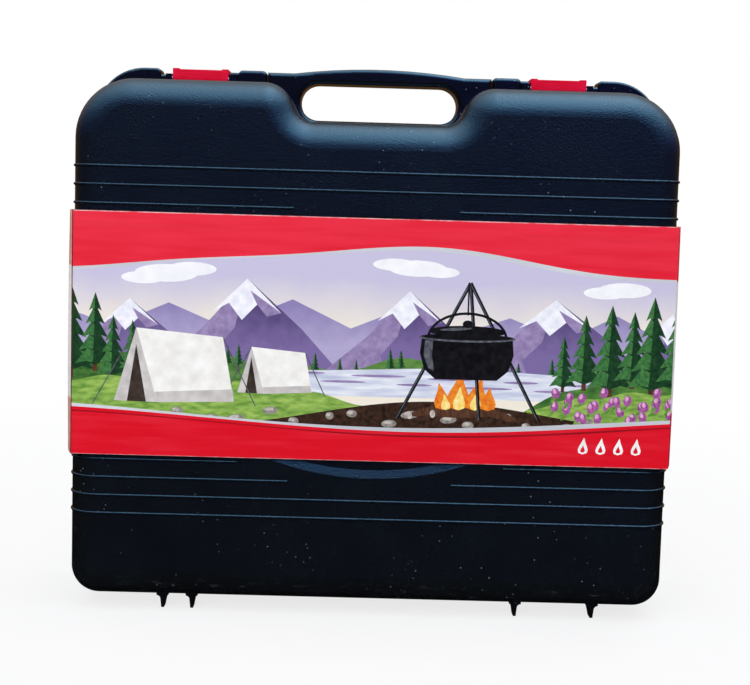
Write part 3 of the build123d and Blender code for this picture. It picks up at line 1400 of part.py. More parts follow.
# Cartridge cover with its peep hole and hinge barrels
with BuildPart() as cartridge_cover:
    extrude(to_extrude=cover_profile(0, COVER_Z0), amount=COVER_Z1 - COVER_Z0)
    extrude(
        to_extrude=cover_profile(SHEET, COVER_Z0 + SHEET),
        amount=COVER_Z1 - COVER_Z0 - 2 * SHEET,
        mode=Mode.SUBTRACT,
    )
    with BuildSketch(front(up(W_COVER - 2 * SHEET))):
        with Locations((BAY_MID_X, STOVE_MID_Z)):
            SlotOverall(PEEP_L, PEEP_W, rotation=90)
    extrude(amount=3 * SHEET, mode=Mode.SUBTRACT)
    for z in cover_barrel_z0s:
        with BuildSketch(Plane.XY.offset(z)):
            with Locations((COVER_AXIS_X, up(W_COVER_AXIS))):
                Circle(COVER_BARREL_R)
            with Locations((COVER_AXIS_X - COVER_BARREL_R, up(W_COVER_AXIS))):
                Rectangle(SHEET, COVER_TAB_RISE, align=(Align.MIN, Align.MAX))
            with Locations((COVER_AXIS_X - COVER_BARREL_R, up(W_COVER_AXIS + COVER_TAB_RISE))):
                Rectangle(STOVE_X0 + SHEET / 2 - COVER_AXIS_X + COVER_BARREL_R, SHEET, align=(Align.MIN, Align.MIN))
            with Locations((COVER_AXIS_X, up(W_COVER_AXIS))):
                Circle(COVER_PIN_R + RUN_CLEAR, mode=Mode.SUBTRACT)
        extrude(amount=BARREL_L)
cartridge_cover.part.label = "cartridge_cover"
export_step(cartridge_cover.part, "parts/cartridge_cover.step")

# Pins through the cover's barrels
with BuildPart() as cover_hinge_pins:
    pin_l = 2 * BARREL_L + BARREL_GAP
    for z in (chassis_barrel_z0s[0], cover_barrel_z0s[1]):
        with BuildSketch(Plane.XY.offset(z)):
            with Locations((COVER_AXIS_X, up(W_COVER_AXIS))):
                Circle(COVER_PIN_R)
        extrude(amount=pin_l)
cover_hinge_pins.part.label = "cover_hinge_pins"
export_step(cover_hinge_pins.part, "parts/cover_hinge_pins.step")

# Piezo igniter on its leg, with the bore for its plunger
plunger_tip_x = KNOB_X - CAM_R - CAM_TIP_GAP
with BuildPart() as igniter_body:
    with BuildSketch(front(up(W_KNOB - IGNITER_H / 2))):
        with Locations((LEAD_X, (IGNITER_Z0 + IGNITER_Z1) / 2)):
            Rectangle(IGNITER_W, IGNITER_D)
    extrude(amount=IGNITER_H)
    with BuildSketch(front(up(W_FLOOR))):
        with Locations((LEAD_X, (IGNITER_Z0 + IGNITER_Z1) / 2)):
            Rectangle(IGNITER_W - 2 * IGNITER_LEG, IGNITER_D - 4 * IGNITER_LEG)
    extrude(amount=W_KNOB - IGNITER_H / 2 - W_FLOOR + SHEET)
    with BuildSketch(Plane.YZ.offset(IGNITER_X1)):
        with Locations((up(W_KNOB), CAM_MID_Z)):
            Circle(PLUNGER_R + RUN_CLEAR)
    extrude(amount=-PLUNGER_IN - PLUNGER_ROOM, mode=Mode.SUBTRACT)
igniter_body.part.label = "igniter_body"
export_step(igniter_body.part, "parts/igniter_body.step")

# Plunger that the cam pushes in
with BuildPart() as igniter_plunger:
    with BuildSketch(Plane.YZ.offset(IGNITER_X1 - PLUNGER_IN)):
        with Locations((up(W_KNOB), CAM_MID_Z)):
            Circle(PLUNGER_R)
    extrude(amount=plunger_tip_x - IGNITER_X1 + PLUNGER_IN)
igniter_plunger.part.label = "igniter_plunger"
export_step(igniter_plunger.part, "parts/igniter_plunger.step")

# Ceramic tube by the burner
with BuildPart() as electrode_insulator:
    with BuildSketch(front(up(W_CERAMIC))):
        with Locations((ELECTRODE_X, ELECTRODE_Z)):
            Circle(CERAMIC_R)
            Circle(ELECTRODE_WIRE_R, mode=Mode.SUBTRACT)
    extrude(amount=CERAMIC_L)
electrode_insulator.part.label = "electrode_insulator"
export_step(electrode_insulator.part, "parts/electrode_insulator.step")

# Electrode wire through the ceramic, bent towards the flame cap
wire_end_x = ELECTRODE_X - ELECTRODE_REACH * math.cos(arm_turn)
wire_end_z = ELECTRODE_Z - ELECTRODE_REACH * math.sin(arm_turn)
w_wire_top = W_CERAMIC + CERAMIC_L + ELECTRODE_RISE
with BuildPart() as electrode_wire:
    with BuildLine() as wire_path:
        FilletPolyline(
            (ELECTRODE_X, up(W_CERAMIC), ELECTRODE_Z),
            (ELECTRODE_X, up(w_wire_top), ELECTRODE_Z),
            (wire_end_x, up(w_wire_top), wire_end_z),
            radius=ELECTRODE_BEND_R,
        )
    with BuildSketch(Plane(origin=(ELECTRODE_X, up(W_CERAMIC), ELECTRODE_Z), x_dir=(1, 0, 0), z_dir=(0, -1, 0))):
        Circle(ELECTRODE_WIRE_R)
    sweep(path=wire_path.line)
electrode_wire.part.label = "electrode_wire"
export_step(electrode_wire.part, "parts/electrode_wire.step")

# Ignition lead along the floor from the igniter to the electrode
with BuildPart() as ignition_lead:
    with BuildLine() as lead_path:
        FilletPolyline(
            (LEAD_X, up(W_KNOB), IGNITER_Z0),
            (LEAD_X, up(W_KNOB), LEAD_Z),
            (LEAD_X, up(W_LEAD), LEAD_Z),
            (ELECTRODE_X, up(W_LEAD), LEAD_Z),
            (ELECTRODE_X, up(W_LEAD), ELECTRODE_Z),
            (ELECTRODE_X, up(W_CERAMIC), ELECTRODE_Z),
            radius=LEAD_BEND_R,
        )
    with BuildSketch(Plane(origin=(LEAD_X, up(W_KNOB), IGNITER_Z0), x_dir=(1, 0, 0), z_dir=(0, 0, -1))):
        Circle(LEAD_R)
    sweep(path=lead_path.line)
ignition_lead.part.label = "ignition_lead"
export_step(ignition_lead.part, "parts/ignition_lead.step")
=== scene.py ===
import math

import bpy
from mathutils import Matrix, Vector
from mathutils.geometry import delaunay_2d_cdt


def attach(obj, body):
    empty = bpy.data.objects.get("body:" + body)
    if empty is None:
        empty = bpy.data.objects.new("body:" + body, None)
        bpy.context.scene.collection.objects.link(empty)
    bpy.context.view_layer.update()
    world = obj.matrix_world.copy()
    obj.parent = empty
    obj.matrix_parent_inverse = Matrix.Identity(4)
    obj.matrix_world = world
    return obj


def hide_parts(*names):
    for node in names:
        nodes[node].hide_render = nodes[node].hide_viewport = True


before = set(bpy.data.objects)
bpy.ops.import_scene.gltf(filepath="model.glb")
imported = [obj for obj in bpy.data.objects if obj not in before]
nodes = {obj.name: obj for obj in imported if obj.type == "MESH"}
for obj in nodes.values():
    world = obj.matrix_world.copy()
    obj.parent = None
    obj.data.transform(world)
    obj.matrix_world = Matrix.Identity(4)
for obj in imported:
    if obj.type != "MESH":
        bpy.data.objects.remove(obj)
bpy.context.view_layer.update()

MM = 0.001

# Card sleeve, in mm: outer faces of the card, its folds, its height, and the case's top rib under it
CARD_T = 0.5
PANEL_Y = 54.3
FOLD_X = 185.7
SIDE_X = 189.3
FOLD_Y = 40.3
SEAM_Y = 0.3
CARD_Z0 = 99.5
CARD_Z1 = 250.0
CARD_H = CARD_Z1 - CARD_Z0
STRIP_L = math.hypot(SIDE_X - FOLD_X, PANEL_Y - FOLD_Y)
HALF_L = FOLD_X + STRIP_L + FOLD_Y - SEAM_Y
RIB_Z = 243.2
RIB_GAP = 83.1

# How the card departs from flat, in mm: bow of the front, ridge over the rib, bow of the side panels;
# EDGE_BOW is the share of a side panel's bow left at the card's top and bottom edges
FACE_BOW = 0.45
RIB_SHOW = 0.35
RIB_SPREAD = 1.6
RIB_RUN_IN = 12.0
EDGE_BOW = 0.45
LOOSE_BOW = 1.5
TIGHT_BOW = 0.7

# Triangles of the card: rows along a fold, columns and rows of the sheet, step and finer rows at the rib,
# and the distance in mm under which two points become one
FOLD_ROWS = 30
SHEET_COLUMNS = 60
SHEET_ROWS = 24
RIB_STEP = 4.0
RIB_ROWS = (-3.4, -2.2, -1.1, 0, 1.1, 2.2, 3.4, 5.0)
MERGE_MM = 0.005


def linear(code):
    """Linear colour with alpha from an sRGB hex code."""
    parts = [int(code[i:i + 2], 16) / 255 for i in (1, 3, 5)]
    return [p / 12.92 if p <= 0.04045 else ((p + 0.055) / 1.055) ** 2.4 for p in parts] + [1.0]


def per_metre(size_mm):
    """Texture scale whose features are about size_mm across on object coordinates in metres."""
    return 1000.0 / size_mm


def add(tree, kind, settings=(), links=(), stops=()):
    """Add one node: settings name sockets or properties, links feed sockets, stops are a ramp's colours."""
    made = tree.nodes.new("ShaderNode" + kind)
    for key, value in dict(settings).items():
        if isinstance(key, int):
            made.inputs[key].default_value = value
        elif key in made.inputs and not hasattr(type(made), key):
            made.inputs[key].default_value = value
        else:
            setattr(made, key, value)
    for key, source in dict(links).items():
        tree.links.new(source, made.inputs[key])
    if stops:
        elements = made.color_ramp.elements
        while len(elements) < len(stops):
            elements.new(0.5)
        for element, (place, code) in zip(elements, stops):
            element.position = place
            element.color = linear(code)
    return made


def start(name, **sockets):
    """New material with constant sockets set; returns it with its tree, shader and object coordinates."""
    made = bpy.data.materials.new(name)
    made.use_nodes = True
    tree = made.node_tree
    shader = tree.nodes["Principled BSDF"]
    for key, value in sockets.items():
        shader.inputs[key.replace("_", " ")].default_value = value
    return made, tree, shader, add(tree, "TexCoord").outputs["Object"]


# Blow-moulded polyethylene: carbon black with a blue sheen, spark-eroded grain that light rakes, dust, scuffs
def case_polyethylene():
    made, tree, shader, place = start(
        "blow_moulded_polyethylene", IOR=1.54, Specular_IOR_Level=0.8, Specular_Tint=linear("#9dd7ff")
    )
    # clouds of tone some 38 mm wide
    mottle = add(tree, "TexNoise", {"Scale": per_metre(38), "Detail": 4.0}, {"Vector": place})
    tone = add(tree, "ValToRGB", {}, {"Fac": mottle.outputs["Fac"]}, [(0.3, "#0d0d0e"), (0.75, "#111112")])
    # dust specks about 0.7 mm across and 5 mm apart, gathered in patches some 60 mm wide
    specks = add(tree, "TexVoronoi", {"Scale": per_metre(5), "Randomness": 1.0}, {"Vector": place})
    speck = [(0.04, "#ffffff"), (0.09, "#000000")]
    dot = add(tree, "ValToRGB", {}, {"Fac": specks.outputs["Distance"]}, speck)
    patch = add(tree, "TexNoise", {"Scale": per_metre(60), "Detail": 5.0}, {"Vector": place})
    spread = add(tree, "MapRange", {"From Min": 0.46, "From Max": 0.62}, {"Value": patch.outputs["Fac"]})
    shares = {0: dot.outputs["Color"], 1: spread.outputs["Result"]}
    dust = add(tree, "Math", {"operation": "MULTIPLY"}, shares)
    layers = {0: dust.outputs[0], 6: tone.outputs["Color"]}
    dusted = add(tree, "Mix", {"data_type": "RGBA", 7: linear("#8e949c")}, layers)
    # scuffs in a band 10 to 26 mm above the floor, in streaks about 2 mm high
    split = add(tree, "SeparateXYZ", {}, {"Vector": place})
    low = add(tree, "MapRange", {"From Min": 0.010, "From Max": 0.026}, {"Value": split.outputs["Z"]})
    rubbed = [(0.0, "#000000"), (0.4, "#ffffff"), (1.0, "#000000")]
    band = add(tree, "ValToRGB", {}, {"Fac": low.outputs["Result"]}, rubbed)
    along = add(tree, "Mapping", {"Scale": (0.3, 1.0, 1.0)}, {"Vector": place})
    streaks = {"Scale": per_metre(2), "Detail": 5.0, "Roughness": 0.7}
    rub = add(tree, "TexNoise", streaks, {"Vector": along.outputs["Vector"]})
    worn = add(tree, "MapRange", {"From Min": 0.56, "From Max": 0.72}, {"Value": rub.outputs["Fac"]})
    shares = {0: band.outputs["Color"], 1: worn.outputs["Result"]}
    scuff = add(tree, "Math", {"operation": "MULTIPLY"}, shares)
    layers = {0: scuff.outputs[0], 6: dusted.outputs[2]}
    scuffed = add(tree, "Mix", {"data_type": "RGBA", 7: linear("#34353a")}, layers)
    tree.links.new(scuffed.outputs[2], shader.inputs["Base Color"])
    # the handle and the rim beside it, above 300 mm and within 14 mm of the parting plane, come smoother
    # from the mould than the body
    depth = add(tree, "Math", {"operation": "ABSOLUTE"}, {0: split.outputs["Y"]})
    body = add(tree, "MapRange", {"From Min": 0.0135, "From Max": 0.0165}, {"Value": depth.outputs[0]})
    fall = {"From Min": 0.304, "From Max": 0.3, "To Min": 0.4}
    under = add(tree, "MapRange", fall, {"Value": split.outputs["Z"]})
    shares = {0: body.outputs["Result"], 1: under.outputs["Result"]}
    worked = add(tree, "Math", {"operation": "MAXIMUM"}, shares)
    rough = add(tree, "MapRange", {"To Min": 0.24, "To Max": 0.3}, {"Value": mottle.outputs["Fac"]})
    shares = {0: rough.outputs["Result"], 1: worked.outputs[0]}
    finish = add(tree, "Math", {"operation": "MULTIPLY"}, shares)
    tree.links.new(finish.outputs[0], shader.inputs["Roughness"])
    # real grain is 0.3 mm, drawn at 0.9 mm so that it shows
    grain = add(tree, "TexNoise", {"Scale": per_metre(0.9), "Detail": 1.0}, {"Vector": place})
    relief = {"Height": grain.outputs["Fac"], "Strength": worked.outputs[0]}
    bump = add(tree, "Bump", {"Distance": 0.00024}, relief)
    tree.links.new(bump.outputs["Normal"], shader.inputs["Normal"])
    return made


# Injection-moulded polypropylene: clean crimson, fairly glossy, flow marks 4 mm wide drawn out along X
def latch_polypropylene():
    made, tree, shader, place = start("moulded_polypropylene", IOR=1.49, Specular_IOR_Level=0.15)
    flow = add(tree, "Mapping", {"Scale": (0.25, 1.0, 1.0)}, {"Vector": place})
    marks = add(tree, "TexNoise", {"Scale": per_metre(4), "Detail": 3.0}, {"Vector": flow.outputs["Vector"]})
    tone = add(tree, "ValToRGB", {}, {"Fac": marks.outputs["Fac"]}, [(0.3, "#f60536"), (0.7, "#ff1246")])
    tree.links.new(tone.outputs["Color"], shader.inputs["Base Color"])
    rough = add(tree, "MapRange", {"To Min": 0.28, "To Max": 0.4}, {"Value": marks.outputs["Fac"]})
    tree.links.new(rough.outputs["Result"], shader.inputs["Roughness"])
    grain = add(tree, "TexNoise", {"Scale": per_metre(0.8)}, {"Vector": place})
    bump = add(tree, "Bump", {"Strength": 0.08, "Distance": 0.00005}, {"Height": grain.outputs["Fac"]})
    tree.links.new(bump.outputs["Normal"], shader.inputs["Normal"])
    return made


# Offset ink on coated card: two tones that drift like a halftone, under one glossy film
def printed_ink(name, dark, light, size_mm, stretch=(1.0, 1.0, 1.0), fade=None, share=0.7):
    made, tree, shader, place = start(
        "printed_card_" + name, IOR=1.5, Roughness=0.33, Specular_IOR_Level=0.13
    )
    laid = add(tree, "Mapping", {"Scale": stretch}, {"Vector": place})
    grain = {"Scale": per_metre(size_mm), "Detail": 4.0}
    mix = add(tree, "TexNoise", grain, {"Vector": laid.outputs["Vector"]}).outputs["Fac"]
    if fade:
        # the tone also runs from dark at the first height to light at the second, in mm
        split = add(tree, "SeparateXYZ", {}, {"Vector": place})
        heights = {"From Min": fade[0] * MM, "From Max": fade[1] * MM}
        run = add(tree, "MapRange", heights, {"Value": split.outputs["Z"]})
        mix = add(tree, "Mix", {0: share}, {2: mix, 3: run.outputs["Result"]}).outputs[0]
    tone = add(tree, "ValToRGB", {}, {"Fac": mix}, [(0.3, dark), (0.7, light)])
    tree.links.new(tone.outputs["Color"], shader.inputs["Base Color"])
    # handling leaves the film slack: soft waves some 45 mm long
    slack = add(tree, "TexNoise", {"Scale": per_metre(45), "Detail": 1.0}, {"Vector": place})
    bump = add(tree, "Bump", {"Strength": 0.35, "Distance": 0.0012}, {"Height": slack.outputs["Fac"]})
    tree.links.new(bump.outputs["Normal"], shader.inputs["Normal"])
    return made


# Uncoated grey board: the sleeve's inside and cut edges, dull with short fibres
def grey_board():
    made, tree, shader, place = start("uncoated_grey_board", IOR=1.45, Roughness=0.9)
    fibre = add(tree, "TexNoise", {"Scale": per_metre(0.8), "Detail": 4.0}, {"Vector": place})
    tone = add(tree, "ValToRGB", {}, {"Fac": fibre.outputs["Fac"]}, [(0.3, "#a39d93"), (0.7, "#c9c3b8")])
    tree.links.new(tone.outputs["Color"], shader.inputs["Base Color"])
    bump = add(tree, "Bump", {"Strength": 0.3, "Distance": 0.00005}, {"Height": fibre.outputs["Fac"]})
    tree.links.new(bump.outputs["Normal"], shader.inputs["Normal"])
    return made


# Zinc-plated steel: bright drawn wire, with marks 0.5 mm wide drawn out along X
def pin_steel():
    made, tree, shader, place = start("zinc_plated_steel", Metallic=1.0)
    drawn = add(tree, "Mapping", {"Scale": (0.08, 1.0, 1.0)}, {"Vector": place})
    wire = {"Scale": per_metre(0.5), "Detail": 3.0}
    marks = add(tree, "TexNoise", wire, {"Vector": drawn.outputs["Vector"]})
    tone = add(tree, "ValToRGB", {}, {"Fac": marks.outputs["Fac"]}, [(0.3, "#b4b8bc"), (0.7, "#d2d5d8")])
    tree.links.new(tone.outputs["Color"], shader.inputs["Base Color"])
    rough = add(tree, "MapRange", {"To Min": 0.25, "To Max": 0.42}, {"Value": marks.outputs["Fac"]})
    tree.links.new(rough.outputs["Result"], shader.inputs["Roughness"])
    return made


# Black stove enamel fired on sheet: glossy, with the soft dimples of sprayed enamel
def stove_enamel():
    made, tree, shader, place = start("fired_black_enamel", IOR=1.52)
    cloud = add(tree, "TexNoise", {"Scale": per_metre(25), "Detail": 3.0}, {"Vector": place})
    tone = add(tree, "ValToRGB", {}, {"Fac": cloud.outputs["Fac"]}, [(0.3, "#222325"), (0.7, "#27282a")])
    tree.links.new(tone.outputs["Color"], shader.inputs["Base Color"])
    rough = add(tree, "MapRange", {"To Min": 0.2, "To Max": 0.27}, {"Value": cloud.outputs["Fac"]})
    tree.links.new(rough.outputs["Result"], shader.inputs["Roughness"])
    peel = add(tree, "TexNoise", {"Scale": per_metre(2.2), "Detail": 1.0}, {"Vector": place})
    bump = add(tree, "Bump", {"Strength": 0.12, "Distance": 0.0001}, {"Height": peel.outputs["Fac"]})
    tree.links.new(bump.outputs["Normal"], shader.inputs["Normal"])
    return made


# Hot-dip galvanised sheet: grey spangle, each crystal a little lighter or darker
def galvanised_sheet():
    made, tree, shader, place = start("galvanised_sheet", Metallic=1.0)
    spangle = add(tree, "TexVoronoi", {"Scale": per_metre(9)}, {"Vector": place})
    shade = add(tree, "SeparateColor", {}, {"Color": spangle.outputs["Color"]})
    tone = add(tree, "ValToRGB", {}, {"Fac": shade.outputs["Red"]}, [(0.0, "#a6abae"), (1.0, "#ced2d4")])
    tree.links.new(tone.outputs["Color"], shader.inputs["Base Color"])
    rough = add(tree, "MapRange", {"To Min": 0.32, "To Max": 0.5}, {"Value": shade.outputs["Green"]})
    tree.links.new(rough.outputs["Result"], shader.inputs["Roughness"])
    return made


# Die-cast aluminium, tumbled: matt light grey with a pebbled skin
def cast_aluminium():
    made, tree, shader, place = start("tumbled_cast_aluminium", Metallic=1.0)
    skin = add(tree, "TexNoise", {"Scale": per_metre(1.1), "Detail": 4.0}, {"Vector": place})
    tone = add(tree, "ValToRGB", {}, {"Fac": skin.outputs["Fac"]}, [(0.3, "#c2c4c7"), (0.7, "#dcdee0")])
    tree.links.new(tone.outputs["Color"], shader.inputs["Base Color"])
    rough = add(tree, "MapRange", {"To Min": 0.42, "To Max": 0.6}, {"Value": skin.outputs["Fac"]})
    tree.links.new(rough.outputs["Result"], shader.inputs["Roughness"])
    bump = add(tree, "Bump", {"Strength": 0.25, "Distance": 0.00012}, {"Height": skin.outputs["Fac"]})
    tree.links.new(bump.outputs["Normal"], shader.inputs["Normal"])
    return made


# Turned brass: warm yellow with tool marks about 2 mm apart
def turned_brass():
    made, tree, shader, place = start("turned_brass", Metallic=1.0)
    tooling = {"Scale": per_metre(6), "Distortion": 1.5, "Detail": 2.0}
    marks = add(tree, "TexWave", tooling, {"Vector": place})
    tone = add(tree, "ValToRGB", {}, {"Fac": marks.outputs["Fac"]}, [(0.0, "#b48a35"), (1.0, "#d3ad5a")])
    tree.links.new(tone.outputs["Color"], shader.inputs["Base Color"])
    rough = add(tree, "MapRange", {"To Min": 0.22, "To Max": 0.36}, {"Value": marks.outputs["Fac"]})
    tree.links.new(rough.outputs["Result"], shader.inputs["Roughness"])
    return made


# Moulded nitrile rubber: dull black with a light bloom
def nitrile_rubber():
    made, tree, shader, place = start("moulded_nitrile_rubber", IOR=1.52, Roughness=0.8)
    bloom = add(tree, "TexNoise", {"Scale": per_metre(5), "Detail": 4.0}, {"Vector": place})
    tone = add(tree, "ValToRGB", {}, {"Fac": bloom.outputs["Fac"]}, [(0.3, "#1c1c1d"), (0.75, "#2c2c2f")])
    tree.links.new(tone.outputs["Color"], shader.inputs["Base Color"])
    bump = add(tree, "Bump", {"Strength": 0.2, "Distance": 0.00008}, {"Height": bloom.outputs["Fac"]})
    tree.links.new(bump.outputs["Normal"], shader.inputs["Normal"])
    return made


# Moulded ABS with a fine matt texture: near black
def matt_abs():
    made, tree, shader, place = start("textured_black_abs", IOR=1.53)
    grain = add(tree, "TexNoise", {"Scale": per_metre(0.7), "Detail": 2.0}, {"Vector": place})
    tone = add(tree, "ValToRGB", {}, {"Fac": grain.outputs["Fac"]}, [(0.3, "#202125"), (0.7, "#2d2e33")])
    tree.links.new(tone.outputs["Color"], shader.inputs["Base Color"])
    rough = add(tree, "MapRange", {"To Min": 0.42, "To Max": 0.55}, {"Value": grain.outputs["Fac"]})
    tree.links.new(rough.outputs["Result"], shader.inputs["Roughness"])
    bump = add(tree, "Bump", {"Strength": 0.15, "Distance": 0.00006}, {"Height": grain.outputs["Fac"]})
    tree.links.new(bump.outputs["Normal"], shader.inputs["Normal"])
    return made


# Glazed alumina: white with the faintest warm clouding
def glazed_alumina():
    made, tree, shader, place = start("glazed_alumina", IOR=1.6, Roughness=0.18)
    cloud = add(tree, "TexNoise", {"Scale": per_metre(3)}, {"Vector": place})
    tone = add(tree, "ValToRGB", {}, {"Fac": cloud.outputs["Fac"]}, [(0.3, "#e2ddd2"), (0.7, "#f1ede4")])
    tree.links.new(tone.outputs["Color"], shader.inputs["Base Color"])
    return made


# Silicone sheath of the ignition lead: off-white, soft sheen, handling marks
def silicone_sheath():
    made, tree, shader, place = start("silicone_sheath", IOR=1.41, Roughness=0.45)
    marks = add(tree, "TexNoise", {"Scale": per_metre(2.5), "Detail": 3.0}, {"Vector": place})
    tone = add(tree, "ValToRGB", {}, {"Fac": marks.outputs["Fac"]}, [(0.3, "#c9c7c2"), (0.7, "#e3e1dc")])
    tree.links.new(tone.outputs["Color"], shader.inputs["Base Color"])
    return made


# Pad-printed paint on moulded plastic: thin, dull, a little uneven
def pad_paint(name, dark, light):
    made, tree, shader, place = start("pad_printed_" + name, IOR=1.5, Roughness=0.55)
    patchy = add(tree, "TexNoise", {"Scale": per_metre(1.5), "Detail": 3.0}, {"Vector": place})
    tone = add(tree, "ValToRGB", {}, {"Fac": patchy.outputs["Fac"]}, [(0.3, dark), (0.7, light)])
    tree.links.new(tone.outputs["Color"], shader.inputs["Base Color"])
    return made


polyethylene = case_polyethylene()
polypropylene = latch_polypropylene()
plated_steel = pin_steel()
enamel = stove_enamel()
galvanised = galvanised_sheet()
aluminium = cast_aluminium()
brass = turned_brass()
rubber = nitrile_rubber()
abs_plastic = matt_abs()
alumina = glazed_alumina()
sheath = silicone_sheath()
board = grey_board()
white_paint = pad_paint("white", "#d9d7d2", "#efeeea")
red_paint = pad_paint("red", "#b8231f", "#d23a2e")

FINISHES = {
    polyethylene: ["case_base", "case_lid"],
    polypropylene: ["latch_left", "latch_right"],
    plated_steel: [
        "hinge_pins", "latch_pins", "cover_hinge_pins", "burner_screws", "dial_screws", "electrode_wire",
        "valve_spindle",
    ],
    enamel: ["stove_chassis", "top_plate", "cartridge_cover", "drip_pan", "pan_support"],
    galvanised: [
        "burner_stand", "jet_bracket", "cartridge_slide", "cartridge_cradle", "heat_shield", "gas_pipe",
    ],
    aluminium: ["burner_cup", "burner_head", "regulator", "regulator_cap"],
    brass: ["jet"],
    rubber: ["stove_feet", "nozzle_seal"],
    abs_plastic: ["control_knob", "dial_plate", "lock_lever", "igniter_body", "igniter_plunger"],
    alumina: ["electrode_insulator"],
    sheath: ["ignition_lead"],
}
for finish, names in FINISHES.items():
    for name in names:
        nodes[name].data.materials.clear()
        nodes[name].data.materials.append(finish)

# Inks of the sleeve's print
INKS = {
    # the red runs lighter towards the top, a painted sheen of the glossy film, with faint horizontal streaks
    # of painted crease shade
    "red": printed_ink("red", "#de0420", "#ec2e43", 5, (0.1, 1.0, 1.0), (104, 262), 0.4),
    "salmon": printed_ink("salmon", "#de9484", "#efb6a8", 8, (1.0, 1.0, 0.3)),
    # painted shadow of the left fold: the dark red ink of the line along it
    "fold_line": printed_ink("fold_line", "#4a0a10", "#76141c", 6),
    "worn_edge": printed_ink("worn_edge", "#d8384c", "#eec2c0", 9),
    "deep_red": printed_ink("deep_red", "#8e0716", "#a50a1c", 30),
    "silver": printed_ink("silver", "#b9bac2", "#d9dae0", 25, (0.2, 1.0, 1.0)),
    "white": printed_ink("white", "#efedea", "#fbfaf8", 12),
    "sky": printed_ink("sky", "#f3ead9", "#c9c3dd", 40, fade=(165, 225)),
    "cloud": printed_ink("cloud", "#efeef3", "#fbfafc", 9),
    "far_ridge": printed_ink("far_ridge", "#b3a8cd", "#8f82b4", 9, fade=(160, 205)),
    "ridge": printed_ink("ridge", "#7c6a9f", "#4a3a6c", 7, fade=(158, 210)),
    "ridge_lit": printed_ink("ridge_lit", "#a593bd", "#85719f", 5),
    "snow": printed_ink("snow", "#e3e2ef", "#fdfcff", 5),
    "lake": printed_ink("lake", "#b9bfd8", "#eef0f6", 3, (0.12, 1.0, 1.0)),
    "far_hill": printed_ink("far_hill", "#3f6b34", "#6f9a4a", 5, (0.5, 1.0, 1.0)),
    "hill": printed_ink("hill", "#2d5a2a", "#5a8b3c", 4, (0.6, 1.0, 1.0)),
    "meadow": printed_ink("meadow", "#5f8f35", "#a5c560", 2.5, (0.35, 1.0, 1.0)),
    "fir": printed_ink("fir", "#12301c", "#204a2a", 2.5),
    "fir_lit": printed_ink("fir_lit", "#2a5c33", "#4d8747", 2.0),
    "bark": printed_ink("bark", "#3a241a", "#6a4530", 2.0, (2.0, 1.0, 0.4)),
    "soil": printed_ink("soil", "#231611", "#4a3226", 3.0),
    "stone": printed_ink("stone", "#6f6862", "#a8a098", 2.0),
    "stone_lit": printed_ink("stone_lit", "#a59d95", "#d3ccc4", 2.0),
    "tent": printed_ink("tent", "#e9e5de", "#fdfbf7", 9),
    "tent_shade": printed_ink("tent_shade", "#bdb6b4", "#d9d3cf", 7),
    "tent_dark": printed_ink("tent_dark", "#2e2622", "#4a3d36", 4),
    "iron": printed_ink("iron", "#0c0c0e", "#1c1c20", 4),
    "iron_lit": printed_ink("iron_lit", "#3b3d44", "#6a6d76", 3),
    "flame": printed_ink("flame", "#e2661a", "#f59a2b", 3),
    "flame_core": printed_ink("flame_core", "#fbc945", "#fff0a8", 3),
    "heather": printed_ink("heather", "#7a2f78", "#c06aae", 1.6),
    "heather_pale": printed_ink("heather_pale", "#c77fb6", "#ecc0de", 1.6),
    "leaf": printed_ink("leaf", "#3c6f2a", "#86b34e", 1.6),
}
INK_ORDER = list(INKS)

# The print, in mm on the unfolded card: levels and places of its parts, the least height of a band,
# and the widths of worn edges and of the painted fold shadow, a dark line along the fold
WHITE_PANEL = (134, 216)
PEAK_FOOT = 150
SHORE = 140
HILL_FOOT = 126
GROUND_FOOT = 108
FIRE_X = 58.0
FIRE_Z = 133
TRIPOD_FOOT = 127
TRIPOD_TOP = 212
BAIL_Z = 177
LOG_END = 20
LEAST_BAND = 0.05
TOP_WEAR = 0.6
LOW_WEAR = 0.3
FOLD_SHADOW_WIDTH = 0.6

# Clouds by place and size; peaks by top and half width; firs by foot and height
CLOUDS = [
    (-128, 213, 13), (-112, 216, 10), (-142, 210, 9), (12, 222, 9), (26, 220, 12), (40, 218, 8),
    (142, 208, 9), (154, 210, 11),
]
FAR_RIDGE = [
    (-240, 150), (240, 150), (240, 176), (205, 190), (176, 181), (150, 194), (118, 178), (84, 191),
    (52, 180), (20, 196), (-14, 182), (-50, 199), (-92, 181), (-126, 195), (-160, 180), (-196, 192),
    (-240, 178),
]
PEAKS = [(-150, 197, 52), (112, 203, 66), (-78, 211, 62), (184, 196, 44), (22, 206, 58)]
FIRS = [
    (-226, 158, 40), (-212, 152, 48), (-197, 158, 46), (-186, 150, 58), (-171, 154, 48), (-160, 148, 40),
    (-148, 152, 33), (118, 148, 34), (131, 150, 46), (147, 147, 56), (161, 152, 47), (173, 147, 62),
    (188, 152, 50), (204, 148, 44), (220, 152, 52),
]

# Round the fire's middle: logs by place and tilt, flames by place, width, height and lean, the pot's outlines
LOGS = [(-15, 1, 14), (13, 0, -16), (0, -2, 2)]
FLAMES = [(-14, 11, 17, -0.25), (-5, 15, 24, 0.15), (6, 14, 21, 0.3), (14, 10, 15, 0.1)]
FLAME_CORES = [(-12, 6, 10, -0.2), (-4, 8, 15, 0.1), (6, 7, 13, 0.3)]
TRIPOD_FEET = (-42, 9, 46)
POT = [(-28, 178), (-29, 168), (-26, 158), (-19, 152), (19, 152), (26, 158), (29, 168), (28, 178)]
POT_SHINE = [(-26, 176), (-26.6, 167), (-23.6, 159), (-20, 157), (-21.5, 167), (-21, 176)]


def swing(x, level, rise, length, shift):
    """Height of a printed wave at x."""
    return level + rise * math.sin(2 * math.pi * (x + shift) / length)


def band_top(x):
    """Upper edge of the picture."""
    return swing(x, 222, 8, 410, 95) + 1.6 * math.sin(2 * math.pi * x / 170)


